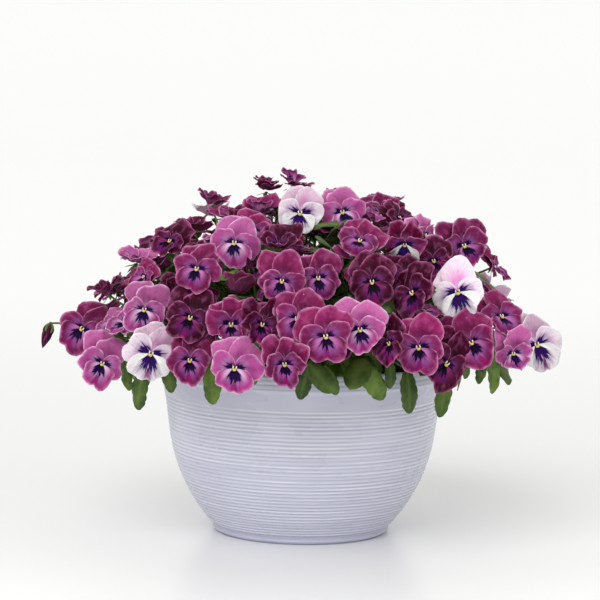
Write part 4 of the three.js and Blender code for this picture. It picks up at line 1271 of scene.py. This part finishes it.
# Inner leaves: smaller leaves deep in the plants and along the rim, which close the view between the flowers
# down to the soil. They grow from the same stems; their blades lie every way and their petioles are short.
inner_wanted = 400
inner_low = 170
rim_wanted = 44
inner_tries = 14000
inner_room = 3.6
inner_rule = {"fall": (4, 90), "depth": (14, 86), "droop": 0.35, "slant": 0.25, "least": 0.6, "lift": 0.3,
              "tilt": 0.9}
pattern_length = 40
pattern_widths = (0.44, 0.52, 0.6)


def rim_leaf(draw):
    turn = 360 * next(draw)
    base = around(turn, 112 + 30 * next(draw), 182 + 18 * next(draw))
    lean = unit(around(turn + 80 * (next(draw) - 0.5), 1, 0.25 - 0.65 * next(draw)))
    length = leaf_length * (0.5 + 0.3 * next(draw))
    tilt = around(turn, 0.6 * next(draw), 0.4 * next(draw))
    return Leaf(base, base + lean * length, up_axis + tilt, 0.5 * length)


def has_gap(leaf):
    global taken
    if (leaf.felt[:, 2].min() <= inner_low or not clear_of_pot(leaf.felt)
            or gap(leaf.felt, taken, leaf.base, 60) <= inner_room):
        return False
    taken = np.vstack([taken, leaf.felt])
    return True


leaf_draw = draws(977)
grown = sown(lambda: rim_leaf(leaf_draw), rim_wanted, inner_tries, has_gap)
grown += sown(lambda: filling_leaf(leaf_draw, inner_rule), inner_wanted, inner_tries, has_gap)
inner = Tissue(leaf_values)
for number, width in enumerate(pattern_widths):
    pattern = Tissue(leaf_values)
    flat = Leaf(np.zeros(3), np.array([0.0, pattern_length, 0.0]), up_axis, width * pattern_length)
    blade_sheet(pattern, flat, 0.5, 9 * width, 15, 5)
    places = [(leaf.base, leaf.across, leaf.along, leaf.normal, leaf.length / pattern_length)
              for leaf in grown[number::len(pattern_widths)]]
    under, rib = (np.tile(pattern.held[name][0].ravel(), len(places)) for name in ("under", "rib"))
    inner.add_mesh(copies(pattern.mesh("leaf_pattern"), places), under=under, rib=rib,
                   tint=np.repeat([0.1 + 0.7 * next(shade) for _ in places], pattern.count))
stem_tops = np.vstack([stem.line[3:] for stem in stems])
petioles = []
for leaf in grown:
    start = stem_tops[np.argmin(((stem_tops - leaf.base) ** 2).sum(axis=1))]
    petioles.append(along([start, 0.5 * (start + leaf.base) - leaf.along * 0.2 * leaf.length, leaf.base], 8))
inner.add_mesh(tubes(petioles, petiole_radius, 0.7 * petiole_radius), tint=0.45)
inner.piece("inner_leaves", leaf_tissue, "leaf")

# Studio: a wide pale floor with a faint gloss, a room that is brightest behind the bowl, and two broad soft
# lights in front, the stronger one high on the left.
floor_reach = 60
# Floor shades: paler in front of the bowl, painted light; the middle; a darker band behind the bowl, a painted
# shadow; and faint patches.
floor_shades = [(0.99, 0.99, 0.985, 1), (0.88, 0.885, 0.875, 1), (0.8, 0.805, 0.8, 1), (0.8, 0.8, 0.8, 1)]
room_front = 0.42
room_back = 0.97
lamps = [("left_light", (-0.7, -2.0, 1.8), 2.0, 45), ("right_light", (1.8, -1.6, 1.2), 0.35, 60)]


def floor_finish():
    finish = Finish("studio_floor")
    away = finish.axis(finish.object_at(), "Y")
    # Painted light: the floor in front of the bowl is paler than the middle.
    front, middle, band, patch = floor_shades
    # Painted shadow: the floor is darker in a band behind the bowl.
    shade = finish.blend(away.step(-0.1, 0.35) * away.step(2.2, 0.7),
                         finish.blend(away.step(-0.5, 0.05), front, middle), band)
    faint = finish.noise(finish.object_at(), 3.0, 2.0, 0.5)
    return finish.show(Base_Color=finish.blend(faint * 0.1, shade, patch), Roughness=0.28,
                       Specular_IOR_Level=0.4)


floor_mesh = bpy.data.meshes.new("floor")
floor_mesh.from_pydata([(-floor_reach, -floor_reach, 0), (floor_reach, -floor_reach, 0),
                        (floor_reach, floor_reach, 0), (-floor_reach, floor_reach, 0)], [], [(0, 1, 2, 3)])
floor_mesh.materials.append(floor_finish())
floor = stand("floor", floor_mesh)

room = bpy.data.worlds.new("room")
room.use_nodes = True
sky = Nodes(room.node_tree)
sideways = sky.node("ShaderNodeSeparateXYZ", sky.node("ShaderNodeTexCoord", output="Generated"), output="Y")
background = room.node_tree.nodes["Background"]
sky.feed(background.inputs["Color"], (1.0, 1.0, 0.985, 1.0))
sky.feed(background.inputs["Strength"], sideways.step(-0.3, 0.5, room_front, room_back))
bpy.context.scene.world = room

for name, place, strength, breadth in lamps:
    lamp = bpy.data.lights.new(name, "SUN")
    lamp.energy = strength
    lamp.angle = breadth * degrees
    stand(name, lamp).rotation_euler = (-Vector(place)).to_track_quat("-Z", "Y").to_euler()
